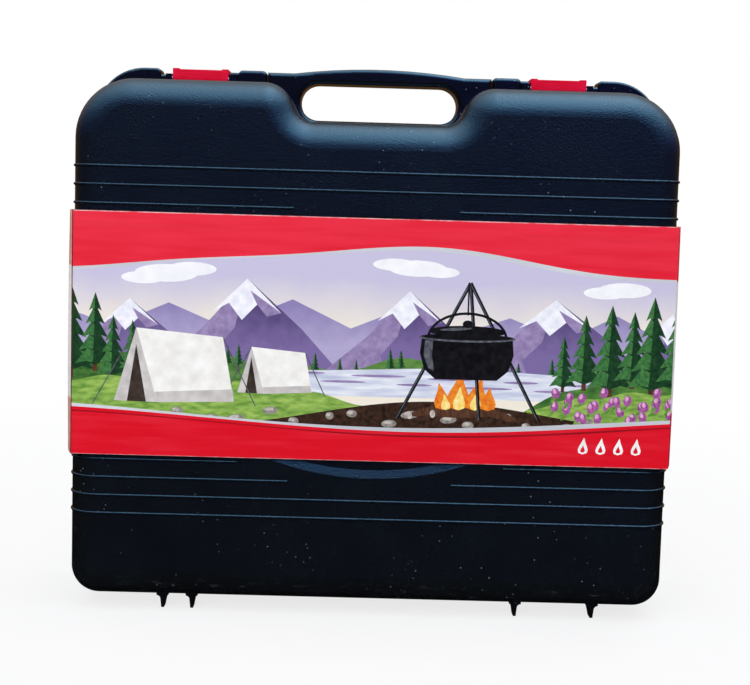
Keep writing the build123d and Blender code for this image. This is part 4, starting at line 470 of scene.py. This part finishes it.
def band_bottom(x):
    """Lower edge of the picture."""
    return swing(x, 127, -6, 520, 120)


def flat(level):
    """Curve of a level line."""
    return lambda x: level


def slope(level, fall, middle, rise, length):
    """Curve of a hill that falls off both ways from its middle, with small bumps."""
    return lambda x: level - fall * (x - middle) ** 2 + rise * math.sin(x / length)


def between(low, high, x0=-HALF_L, x1=HALF_L, step=5.0):
    """Outline between two curves from x0 to x1."""
    count = max(2, int((x1 - x0) / step))
    xs = [x0 + (x1 - x0) * i / count for i in range(count + 1)]
    return [(x, low(x)) for x in xs] + [(x, max(low(x) + LEAST_BAND, high(x))) for x in reversed(xs)]


def rectangle(x0, z0, x1, z1):
    """Outline of an upright rectangle."""
    return [(x0, z0), (x1, z0), (x1, z1), (x0, z1)]


def scaled(x, z, wide, high, shares):
    """Outline whose points are shares of a width and a height from one place."""
    return [(x + wide * u, z + high * v) for u, v in shares]


def oval(x, z, rx, rz, count=20, tilt=0.0):
    """Outline of an ellipse turned by tilt degrees."""
    cos, sin = math.cos(math.radians(tilt)), math.sin(math.radians(tilt))
    points = []
    for i in range(count):
        a = 2 * math.pi * i / count
        u, v = rx * math.cos(a), rz * math.sin(a)
        points.append((x + u * cos - v * sin, z + u * sin + v * cos))
    return points


def stroke(x0, z0, x1, z1, width):
    """Outline of a straight line of the given width."""
    run = math.hypot(x1 - x0, z1 - z0)
    nx, nz = -(z1 - z0) / run * width / 2, (x1 - x0) / run * width / 2
    return [(x0 - nx, z0 - nz), (x1 - nx, z1 - nz), (x1 + nx, z1 + nz), (x0 + nx, z0 + nz)]


def fir(x, z, h):
    """A fir in five tiers with a lit side."""
    layers = [("bark", rectangle(x - h * 0.03, z - h * 0.06, x + h * 0.03, z + h * 0.12))]
    for tier in range(5):
        low = z + h * (0.04 + 0.17 * tier)
        tip = (x, low + h * (0.34 - 0.025 * tier))
        half = h * (0.25 - 0.042 * tier)
        skirt = scaled(x, low, half, h, [(-1, 0), (-0.5, 0.03), (0, -0.015), (0.5, 0.03), (1, 0)])
        lit = scaled(x, low, half, h, [(-1, 0), (-0.5, 0.03), (-0.12, 0.02)])
        layers += [("fir", skirt + [tip]), ("fir_lit", lit + [tip])]
    return layers


def tent(x, z, w, h):
    """Ridge tent seen from one corner: gable with a dark door, long lit side, guy lines."""
    gable = w * 0.36
    left, right = x - w / 2, x + w / 2
    apex = (left + gable / 2, z + h)
    rear = (right - w * 0.10, z + h * 0.9)
    door = [(apex[0] - gable * 0.2, z + 0.3), (apex[0] + gable * 0.24, z + 0.1), (apex[0], z + h * 0.78)]
    hem = [(right - 1, z + h * 0.2), (left + gable * 0.94, z + h * 0.14)]
    return [
        ("iron_lit", stroke(x - w * 0.68, z - 2, apex[0], apex[1], 0.7)),
        ("iron_lit", stroke(x + w * 0.68, z - 1, rear[0], rear[1], 0.7)),
        ("tent", [(left + gable, z), (right, z + 1.5), rear, apex]),
        ("tent_shade", [(left, z + 0.5), (left + gable, z), apex]),
        ("tent_dark", door),
        ("tent_shade", [(left + gable, z), (right, z + 1.5)] + hem),
    ]


def flame(x, z, w, h, lean):
    """Outline of a flame with a curled tip."""
    side = [(0.0, 0.0), (0.42, 0.08), (0.5, 0.26), (0.4, 0.46), (0.2, 0.7), (0.0, 1.0)]
    right = [(x + u * w + lean * v * v * w, z + v * h) for u, v in side]
    left = [(x - u * w * 0.92 + lean * v * v * w, z + v * h) for u, v in reversed(side[1:-1])]
    return right + left


def peak(x, z, half, low):
    """Mountain with a lit flank and a snow cap; points are shares of its half width and of its drop."""
    shapes = [
        ("ridge", [(-1, 1), (1, 1), (0.55, 0.5), (0, 0), (-0.45, 0.52)]),
        ("ridge_lit", [(-1, 1), (-0.45, 0.52), (0, 0), (-0.12, 0.5), (-0.3, 0.72), (-0.22, 1)]),
        ("snow", [
            (-0.34, 0.34), (-0.18, 0.25), (-0.05, 0.42), (0.10, 0.26), (0.2, 0.38), (0.34, 0.34), (0, 0),
        ]),
        ("ridge_lit", [(0.03, 0.12), (0.1, 0.26), (0.2, 0.38), (0.34, 0.34)]),
    ]
    return [(ink, scaled(x, z, half, low - z, shares)) for ink, shares in shapes]


def backdrop():
    """Sky, clouds, far ridge and snowy peaks."""
    layers = [("sky", between(band_bottom, band_top))]
    for x, z, r in CLOUDS:
        layers.append(("cloud", oval(x, z, r * 1.5, r * 0.42)))
    layers.append(("far_ridge", FAR_RIDGE))
    for x, z, half in PEAKS:
        layers += peak(x, z, half, PEAK_FOOT)
    return layers


def far_shore():
    """Small firs in a row on the far hill, and the lake with its ripples."""
    layers = [("far_hill", between(flat(SHORE), lambda x: 160 + 4 * math.sin(x / 23) + 2 * math.sin(x / 9)))]
    for i in range(34):
        x = -236 + 14.3 * i + 4 * math.sin(i * 2.7)
        layers += fir(x, 156 + 3 * math.sin(x / 23), 11 + 3 * math.sin(i * 1.9))
    layers.append(("lake", between(flat(SHORE), lambda x: 157 + 1.5 * math.sin(x / 31), -62, 158)))
    for i in range(9):
        layers.append(("ridge_lit", oval(-40 + 22 * i, 154 - (i * 5 % 9), 11 + i % 3 * 3, 0.8)))
    return layers


def camp_ground():
    """Wooded hills, meadows, two tents and stony soil."""
    layers = [
        ("hill", between(flat(HILL_FOOT), slope(168, 0.00115, -205, 1.5, 11), -HALF_L, -30)),
        ("hill", between(flat(HILL_FOOT), slope(164, 0.0021, 214, 1.5, 8), 92, HALF_L)),
    ]
    for x, z, h in FIRS:
        layers += fir(x, z, h)
    layers += [
        ("meadow", between(flat(GROUND_FOOT), slope(149, 0.0009, -130, 1.2, 7), -HALF_L, 40)),
        ("meadow", between(flat(GROUND_FOOT), slope(147, 0.0014, 190, 1.4, 6), 96, HALF_L)),
    ]
    layers += tent(-60, 140, 46, 29) + tent(-122, 133, 74, 46)
    soil = between(
        flat(GROUND_FOOT), lambda x: 134 + 4 * math.sin(x / 37 + 0.6) - 0.0005 * (x - 50) ** 2
    )
    layers.append(("soil", soil))
    for i in range(26):
        x = -228 + 18.2 * i + 5 * math.sin(i * 3.1)
        z = 127 + 3.5 * math.sin(i * 2.3) - 0.00015 * x * x
        tilt = 8 * math.sin(i)
        layers.append(("stone", oval(x, z, 4.2 + 1.6 * math.sin(i), 2.4, 12, tilt)))
        layers.append(("stone_lit", oval(x - 0.8, z + 0.7, 2.4 + math.sin(i), 1.1, 10, tilt)))
    return layers


def camp_fire():
    """Logs, flames, and a lidded pot that hangs from a tripod."""
    layers = []
    for dx, dz, tilt in LOGS:
        x, z = FIRE_X + dx, FIRE_Z + dz
        end_x = x - LOG_END * math.cos(math.radians(tilt))
        end_z = z - LOG_END * math.sin(math.radians(tilt))
        layers.append(("bark", oval(x, z, 21, 2.7, 18, tilt)))
        layers.append(("stone_lit", oval(end_x, end_z, 1.7, 2.5, 12, tilt)))
    for ink, tongues in (("flame", FLAMES), ("flame_core", FLAME_CORES)):
        for dx, w, h, lean in tongues:
            layers.append((ink, flame(FIRE_X + dx, FIRE_Z, w, h, lean)))
    for dx in TRIPOD_FEET:
        foot = FIRE_X + dx
        layers.append(("iron", stroke(foot, TRIPOD_FOOT, FIRE_X + 1, TRIPOD_TOP, 2.2)))
        layers.append(("iron_lit", stroke(foot - 0.4, TRIPOD_FOOT, FIRE_X + 0.6, TRIPOD_TOP, 0.6)))
    arc = [math.pi * i / 16 for i in range(17)]
    bail = [(FIRE_X + 25 * math.cos(a), BAIL_Z + 17 * math.sin(a)) for a in arc]
    inner = [(FIRE_X + 23.4 * math.cos(a), BAIL_Z + 15.4 * math.sin(a)) for a in arc]
    return layers + [
        ("iron", stroke(FIRE_X, TRIPOD_TOP, FIRE_X, 192, 1.0)),
        ("iron", bail + inner[::-1]),
        ("iron", [(FIRE_X + u, z) for u, z in POT]),
        ("iron_lit", [(FIRE_X + u, z) for u, z in POT_SHINE]),
        ("iron_lit", oval(FIRE_X, 178, 30, 2.6, 28)),
        ("iron", oval(FIRE_X, 178.6, 28.6, 2.0, 28)),
        ("iron", oval(FIRE_X, 182, 24, 3.6, 28)),
        ("iron_lit", oval(FIRE_X - 7, 183.4, 10, 0.9, 18, 4)),
        ("iron", oval(FIRE_X, 186.6, 3.2, 2.4, 14)),
    ]


def flowers():
    """Heather in leaf and bloom on the right of the camp."""
    layers = []
    for i in range(46):
        x = 112 + 2.75 * i + 3 * math.sin(i * 4.1)
        z = 133 + 6 * math.sin(i * 1.7) + 4 * math.sin(i * 0.6)
        tilt = 20 * math.sin(i)
        layers.append(("leaf", oval(x, z, 3.6, 1.1, 10, 50 + 30 * math.sin(i * 2.2))))
        layers.append(("heather", oval(x + 1.5, z + 4, 2.6, 3.4, 12, tilt)))
        layers.append(("heather_pale", oval(x + 0.9, z + 5.2, 1.2, 1.7, 10, tilt)))
    return layers


def silver_lines():
    """A silver line along each edge of the picture."""
    return [
        ("silver", between(band_top, lambda x: band_top(x) + 2.0 + 0.9 * math.sin(x / 55))),
        ("silver", between(lambda x: band_bottom(x) - 2.2 - 0.8 * math.sin(x / 60), band_bottom)),
    ]


def side_panels(left_fold, right_fold):
    """Layers of the side panels, red with a white middle; each strip next to the front has its own ink."""
    low, high = WHITE_PANEL
    layers = []
    for side, fold in ((-1, left_fold), (1, right_fold)):
        near, far = side * FOLD_X, side * HALF_L
        strip = side * (FOLD_X + STRIP_L)
        layers += [
            ("red", rectangle(near, CARD_Z0, far, CARD_Z1)),
            ("white", rectangle(near, low, far, high)),
            (fold, rectangle(near, CARD_Z0, strip, low)),
            (fold, rectangle(near, high, strip, CARD_Z1)),
        ]
    return layers


def worn_edges():
    """Layers along the cut edges, where the ink has rubbed off the board."""
    return [
        ("worn_edge", between(flat(CARD_Z1 - TOP_WEAR), flat(CARD_Z1), -FOLD_X, FOLD_X)),
        ("worn_edge", between(flat(CARD_Z0), flat(CARD_Z0 + LOW_WEAR), -FOLD_X, FOLD_X)),
    ]


def camp_print():
    """Layers of the front print, lowest first: a camp by a lake between two red fields."""
    layers = [("red", between(flat(CARD_Z0), flat(CARD_Z1)))]
    layers += backdrop() + far_shore() + camp_ground() + camp_fire() + flowers()
    layers.append(("red", between(band_top, flat(CARD_Z1))))
    layers.append(("red", between(flat(CARD_Z0), band_bottom)))
    layers += silver_lines()
    shadow = between(
        lambda x: band_bottom(x) - 5.2 - 1.2 * math.sin(x / 60),
        lambda x: band_bottom(x) - 4.2 - 0.9 * math.sin(x / 60),
    )
    layers.append(("deep_red", shadow))
    layers += side_panels("salmon", "red") + worn_edges()
    # a dark line along the left fold: painted shadow of the fold
    layers.append(("fold_line", rectangle(-FOLD_X, CARD_Z0, -FOLD_X + FOLD_SHADOW_WIDTH, CARD_Z1)))
    # four small flames in a row at the lower right
    for i in range(4):
        layers.append(("white", flame(132 + 11 * i, 107.5, 6.5, 10.5, 0.12)))
        layers.append(("red", flame(132 + 11 * i, 108.6, 3.0, 4.6, 0.12)))
    return layers


def plain_print():
    """Layers of the back print: red with a dark band between two silver lines."""
    layers = [
        ("red", between(flat(CARD_Z0), flat(CARD_Z1))),
        ("deep_red", between(band_bottom, band_top)),
    ]
    return layers + silver_lines() + side_panels("red", "red") + worn_edges()


def card_place(s, z, left_bow, right_bow):
    """Place in mm, x and y, on the sleeve's outer face: s runs along the unfolded card, z up."""
    a = abs(s)
    sign = -1 if s < 0 else 1
    rise = (z - CARD_Z0) / CARD_H
    if a <= FOLD_X:
        swell = FACE_BOW * math.cos(math.pi * s / (2 * FOLD_X)) ** 2 * math.sin(math.pi * rise)
        if a > RIB_GAP:
            run_in = min(1.0, (a - RIB_GAP) / RIB_RUN_IN)
            swell += RIB_SHOW * math.exp(-((z - RIB_Z) / RIB_SPREAD) ** 2) * run_in
        return s, -PANEL_Y - swell
    # the side panels bow out, less at the card's top and bottom edges
    bow = left_bow if s < 0 else right_bow
    reach = (a - FOLD_X) / (HALF_L - FOLD_X)
    out = bow * math.sin(math.pi * reach) * (EDGE_BOW + (1 - EDGE_BOW) * math.sin(math.pi * rise))
    if a <= FOLD_X + STRIP_L:
        t = (a - FOLD_X) / STRIP_L
        return sign * (FOLD_X + t * (SIDE_X - FOLD_X) + out), -PANEL_Y + t * (PANEL_Y - FOLD_Y)
    return sign * (SIDE_X + out), -FOLD_Y + a - FOLD_X - STRIP_L


def cut_sheet(layers):
    """The print cut into one flat sheet: its points, its triangles and the ink of each."""
    points, edges, outlines, inks = [], [], [], []
    for ink, outline in layers:
        outline = [(min(max(x, -HALF_L), HALF_L), min(max(z, CARD_Z0), CARD_Z1)) for x, z in outline]
        area = sum(a[0] * b[1] - b[0] * a[1] for a, b in zip(outline, outline[1:] + outline[:1]))
        if area < 0:
            outline.reverse()
        first = len(points)
        points += [Vector(p) for p in outline]
        outlines.append(list(range(first, len(points))))
        inks.append(INK_ORDER.index(ink))
    for s in (-FOLD_X - STRIP_L, -FOLD_X, FOLD_X, FOLD_X + STRIP_L):
        first = len(points)
        points += [Vector((s, CARD_Z0 + CARD_H * i / FOLD_ROWS)) for i in range(FOLD_ROWS + 1)]
        edges += [(first + i, first + i + 1) for i in range(FOLD_ROWS)]
    for i in range(1, SHEET_COLUMNS):
        x = -HALF_L + 2 * HALF_L * i / SHEET_COLUMNS
        points += [Vector((x, CARD_Z0 + CARD_H * j / SHEET_ROWS)) for j in range(1, SHEET_ROWS)]
    # finer rows where the case's top rib shows through the card
    for i in range(int(RIB_GAP / RIB_STEP), int(FOLD_X / RIB_STEP) + 1):
        for side in (-1, 1):
            points += [Vector((side * RIB_STEP * i, RIB_Z + d)) for d in RIB_ROWS]
    spots, _, faces, _, _, owners = delaunay_2d_cdt(points, edges, outlines, 0, MERGE_MM)
    return spots, faces, [inks[max(owner)] if owner else 0 for owner in owners]


def card_half(name, layers, body, node, turned, left_bow, right_bow):
    """One half of the sleeve: the printed sheet, folded, with the board's thickness behind it."""
    spots, faces, inks = cut_sheet(layers)
    mesh = bpy.data.meshes.new(name)
    turn = -1 if turned else 1
    places = []
    for spot in spots:
        x, y = card_place(spot[0], spot[1], left_bow, right_bow)
        places.append((turn * x * MM, turn * y * MM, spot[1] * MM))
    mesh.from_pydata(places, [], faces)
    for ink in INK_ORDER:
        mesh.materials.append(INKS[ink])
    mesh.materials.append(board)
    for polygon, ink in zip(mesh.polygons, inks):
        polygon.material_index = ink
        polygon.use_smooth = True
    mesh.set_sharp_from_angle(angle=math.radians(40))
    mesh.update()
    made = bpy.data.objects.new(name, mesh)
    bpy.context.scene.collection.objects.link(made)
    thick = made.modifiers.new("board", "SOLIDIFY")
    thick.thickness = CARD_T * MM
    thick.offset = -1.0
    thick.material_offset = len(INK_ORDER)
    thick.material_offset_rim = len(INK_ORDER)
    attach(made, body)
    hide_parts(node)


card_half("card_sleeve_front", camp_print(), "front_sleeve", "sleeve_front", False, LOOSE_BOW, TIGHT_BOW)
card_half("card_sleeve_back", plain_print(), "back_sleeve", "sleeve_back", True, TIGHT_BOW, LOOSE_BOW)


# Small forms of the stove, in mm: faces they stand on, pressed beads, dial marks and the knob's pointer
DIAL_Z = 283.8
KNOB_X, KNOB_Y = -127.5, 7.7
KNOB_TOP = 299.4
COVER_Y = -37.3
PLATE_Y = -27.3
BURNER_X, BURNER_Z = 48.0, 149.3
BEAD_SINK = 0.04
BEAD_STEPS = 8
PLATE_BEAD_HALF = 109.5
PLATE_BEAD_CORNER = 26
COVER_BEADS_X = (-141.0, -98.0)
COVER_BEAD_Z = 58
COVER_BEAD_L = 196
BEAD_POINTS = 21
PAINT_T = 0.15
TICKS = 6
TICK_RADII = (23.2, 24.4, 25.6)
WEDGE_R = 29.0
POINTER_RUN = (4, 7, 10, 13)
OUTWARD = (0, -1, 0)
UPWARD = (0, 0, 1)


def bead(name, path, rise, halves, height, body, finish, closed=False):
    """Low half-round bead along a path in mm: rise points off the face, halves are its half widths."""
    rise = Vector(rise)
    places, faces = [], []
    count = len(path)
    for i, spot in enumerate(path):
        after = path[(i + 1) % count] if closed or i < count - 1 else spot
        before = path[i - 1] if closed or i > 0 else spot
        across = (Vector(after) - Vector(before)).normalized().cross(rise)
        for step in range(BEAD_STEPS + 1):
            a = math.pi * step / BEAD_STEPS
            lift = height * math.sin(a) - BEAD_SINK
            places.append((Vector(spot) + across * halves[i] * math.cos(a) + rise * lift) * MM)
    ring = BEAD_STEPS + 1
    for i in range(count if closed else count - 1):
        here, there = i * ring, (i + 1) % count * ring
        faces += [(here + k, here + k + 1, there + k + 1, there + k) for k in range(BEAD_STEPS)]
        faces.append((here + BEAD_STEPS, here, there, there + BEAD_STEPS))
    if not closed:
        faces += [tuple(range(ring))[::-1], tuple(range((count - 1) * ring, count * ring))]
    mesh = bpy.data.meshes.new(name)
    mesh.from_pydata(places, [], faces)
    mesh.materials.append(finish)
    for polygon in mesh.polygons:
        polygon.use_smooth = True
    mesh.set_sharp_from_angle(angle=math.radians(50))
    made = bpy.data.objects.new(name, mesh)
    bpy.context.scene.collection.objects.link(made)
    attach(made, body)


def tapered(count, half):
    """Half widths of a bead that narrows to a quarter over the last three steps at each end."""
    return [half * min(1.0, 0.25 + 0.75 * min(i, count - 1 - i) / 3) for i in range(count)]


def round_square(half, corner):
    """Points round a square with rounded corners, in the plane of the stove's top."""
    points = []
    for quarter, (cx, cz) in enumerate([(1, 1), (-1, 1), (-1, -1), (1, -1)]):
        for i in range(9):
            a = math.pi / 2 * (quarter + i / 8)
            x = BURNER_X + cx * (half - corner) + corner * math.cos(a)
            z = BURNER_Z + cz * (half - corner) + corner * math.sin(a)
            points.append((x, PLATE_Y, z))
    return points


def dial_arc(radius, first, last, count):
    """Points on a circle round the knob, from one angle to another in degrees."""
    turns = [math.radians(first + (last - first) * i / (count - 1)) for i in range(count)]
    return [(KNOB_X + radius * math.cos(a), KNOB_Y + radius * math.sin(a), DIAL_Z) for a in turns]


square = round_square(PLATE_BEAD_HALF, PLATE_BEAD_CORNER)
bead("top_plate_bead", square, OUTWARD, [1.8] * len(square), 0.9, "base", enamel, True)
for index, x in enumerate(COVER_BEADS_X):
    rows = [(x, COVER_Y, COVER_BEAD_Z + COVER_BEAD_L * i / (BEAD_POINTS - 1)) for i in range(BEAD_POINTS)]
    widths = tapered(BEAD_POINTS, 3.2)
    bead("cover_bead_%d" % (index + 1), rows, OUTWARD, widths, 1.3, "cover", enamel)
for index in range(TICKS):
    turn = 90 + 20 * index
    ends = [dial_arc(r, turn, turn, 2)[0] for r in TICK_RADII]
    widths = [0.4] * len(ends)
    bead("dial_tick_%d" % (index + 1), ends, UPWARD, widths, PAINT_T, "base", white_paint)
arc = dial_arc(WEDGE_R, 127, 192, BEAD_POINTS)
widths = [0.35 + 1.5 * i / (BEAD_POINTS - 1) for i in range(BEAD_POINTS)]
bead("dial_wedge", arc, UPWARD, widths, PAINT_T, "base", red_paint)
line = [(KNOB_X, KNOB_Y + d, KNOB_TOP) for d in POINTER_RUN]
bead("knob_pointer", line, UPWARD, [0.9] * len(line), PAINT_T, "knob", white_paint)


# Studio: the floor's corners in metres, strength of the fill light and of the sky in reflections
FLOOR_CORNERS = [(-6, -3, 0), (6, -3, 0), (6, 9, 0), (-6, 9, 0)]
FILL_STRENGTH = 0.55
SKY_STRENGTH = 6.0

# What reflections show from low to high, as stops: the room in front, and the wall behind;
# SKY_ACROSS is the sky's share of its strength from left to right
ROOM = [(0.52, "#040405"), (0.6, "#1a205c"), (0.7, "#3d506f"), (0.81, "#9cb8cc"), (0.95, "#e0edf5")]
WALL = [(0.44, "#070606"), (0.462, "#6b4c2c"), (0.57, "#6b4c2c"), (0.66, "#a89c98"), (0.9, "#cfd6dc")]
SKY_ACROSS = [
    (0.08, "#a3a3a3"), (0.4, "#c7c7c7"), (0.5, "#b0b0b0"), (0.61, "#ffffff"), (0.83, "#dadada"),
    (1.0, "#d0d0d0"),
]


def studio_floor():
    """White paper that the camera sees nearly white, with the case's shadow on it."""
    mesh = bpy.data.meshes.new("studio_floor")
    mesh.from_pydata(FLOOR_CORNERS, [], [(0, 1, 2, 3)])
    floor = bpy.data.objects.new("studio_floor", mesh)
    bpy.context.scene.collection.objects.link(floor)
    floor.visible_glossy = False
    made, tree, shader, place = start("white_paper_roll", Roughness=0.9, Specular_IOR_Level=0.0)
    fibre = add(tree, "TexNoise", {"Scale": per_metre(30), "Detail": 3.0}, {"Vector": place})
    tone = add(tree, "ValToRGB", {}, {"Fac": fibre.outputs["Fac"]}, [(0.3, "#f2f2f2"), (0.7, "#f6f6f6")])
    tree.links.new(tone.outputs["Color"], shader.inputs["Base Color"])
    white = add(tree, "Emission", {"Color": linear("#ffffff"), "Strength": 1.0})
    path = add(tree, "LightPath")
    # the paper runs to plain white away from the case, so that no horizon shows
    away = add(tree, "VectorMath", {"operation": "LENGTH"}, {0: place})
    edge = {"From Min": 0.3, "From Max": 1.0, "To Min": 0.78}
    fade = add(tree, "MapRange", edge, {"Value": away.outputs["Value"]})
    shares = {0: path.outputs["Is Camera Ray"], 1: fade.outputs["Result"]}
    share = add(tree, "Math", {"operation": "MULTIPLY"}, shares)
    mixed = add(tree, "MixShader", {}, {0: share.outputs[0], 1: shader.outputs[0], 2: white.outputs[0]})
    tree.links.new(mixed.outputs[0], tree.nodes["Material Output"].inputs["Surface"])
    mesh.materials.append(made)


def studio_world():
    """White behind the object; in reflections a blue sky over a dark room, with a timber wall behind."""
    world = bpy.data.worlds.new("studio")
    bpy.context.scene.world = world
    world.use_nodes = True
    tree = world.node_tree
    fill = tree.nodes["Background"]
    fill.inputs["Color"].default_value = linear("#f4f7fb")
    fill.inputs["Strength"].default_value = FILL_STRENGTH
    white = add(tree, "Background", {"Color": linear("#ffffff"), "Strength": 1.0})
    ray = add(tree, "TexCoord")
    split = add(tree, "SeparateXYZ", {}, {"Vector": ray.outputs["Generated"]})
    height = add(tree, "MapRange", {"From Min": -1.0, "From Max": 1.0}, {"Value": split.outputs["Z"]})
    room = add(tree, "ValToRGB", {}, {"Fac": height.outputs["Result"]}, ROOM)
    # the sky is strongest on the right and a little dimmer in the middle
    across = add(tree, "MapRange", {"From Min": -0.6, "From Max": 0.6}, {"Value": split.outputs["X"]})
    share = add(tree, "ValToRGB", {}, {"Fac": across.outputs["Result"]}, SKY_ACROSS)
    level = add(tree, "Math", {"operation": "MULTIPLY", 1: SKY_STRENGTH}, {0: share.outputs["Color"]})
    sky = add(tree, "Background", {}, {"Color": room.outputs["Color"], "Strength": level.outputs[0]})
    wall = add(tree, "ValToRGB", {}, {"Fac": height.outputs["Result"]}, WALL)
    timber = add(tree, "Background", {"Strength": 1.0}, {"Color": wall.outputs["Color"]})
    behind = add(tree, "MapRange", {"From Min": 0.1, "From Max": 0.6}, {"Value": split.outputs["Y"]})
    sides = {0: behind.outputs["Result"], 1: sky.outputs[0], 2: timber.outputs[0]}
    seen = add(tree, "MixShader", {}, sides)
    path = add(tree, "LightPath").outputs
    direct = {0: path["Is Camera Ray"], 1: path["Is Transmission Ray"]}
    clear = add(tree, "Math", {"operation": "MAXIMUM"}, direct)
    first = add(tree, "MixShader", {}, {0: path["Is Glossy Ray"], 1: fill.outputs[0], 2: seen.outputs[0]})
    mixed = add(tree, "MixShader", {}, {0: clear.outputs[0], 1: first.outputs[0], 2: white.outputs[0]})
    tree.links.new(mixed.outputs[0], tree.nodes["World Output"].inputs["Surface"])


def softbox(name, place, target, width, height, watts, colour):
    """Rectangular lamp aimed at a point and left out of reflections."""
    lamp = bpy.data.lights.new(name, "AREA")
    lamp.shape = "RECTANGLE"
    lamp.size = width
    lamp.size_y = height
    lamp.energy = watts
    lamp.color = linear(colour)[:3]
    made = bpy.data.objects.new(name, lamp)
    bpy.context.scene.collection.objects.link(made)
    made.visible_glossy = False
    made.location = place
    made.rotation_euler = (Vector(target) - Vector(place)).to_track_quat("-Z", "Y").to_euler()


studio_floor()
studio_world()
softbox("softbox_above", (0.1, -0.4, 1.7), (0, -0.1, 0.2), 2.4, 2.0, 18.0, "#f1f6ff")
softbox("softbox_front", (-0.7, -1.7, 1.0), (0, 0, 0.17), 1.2, 1.0, 10.5, "#ffffff")
softbox("softbox_back", (0.7, 1.8, 1.0), (0, 0, 0.17), 1.2, 1.0, 7.0, "#ffffff")

# Camera at the photograph's viewing angle: place in metres, angles in radians, lens and sensor in mm
CAMERA_PLACE = (-0.009588, -0.94437, 0.26043)
PITCH, YAW, ROLL = 0.0971, -0.0121, 0.0290
LENS = 69.66
SENSOR = 36.0


def photo_camera():
    """The scene's camera, turned by pitch, yaw and roll."""
    level = math.cos(PITCH)
    ahead = Vector((-math.sin(YAW) * level, math.cos(YAW) * level, -math.sin(PITCH)))
    right = Vector((math.cos(YAW), math.sin(YAW), 0))
    upward = right.cross(ahead)
    across = right * math.cos(ROLL) + upward * math.sin(ROLL)
    above = upward * math.cos(ROLL) - right * math.sin(ROLL)
    lens = bpy.data.cameras.new("photo_camera")
    lens.sensor_width = SENSOR
    lens.lens = LENS
    made = bpy.data.objects.new("photo_camera", lens)
    bpy.context.scene.collection.objects.link(made)
    turned = Matrix((across, above, -ahead)).transposed().to_4x4()
    made.matrix_world = Matrix.Translation(CAMERA_PLACE) @ turned
    bpy.context.scene.camera = made


photo_camera()
bpy.context.scene.view_settings.view_transform = "Standard"

bpy.context.view_layer.update()
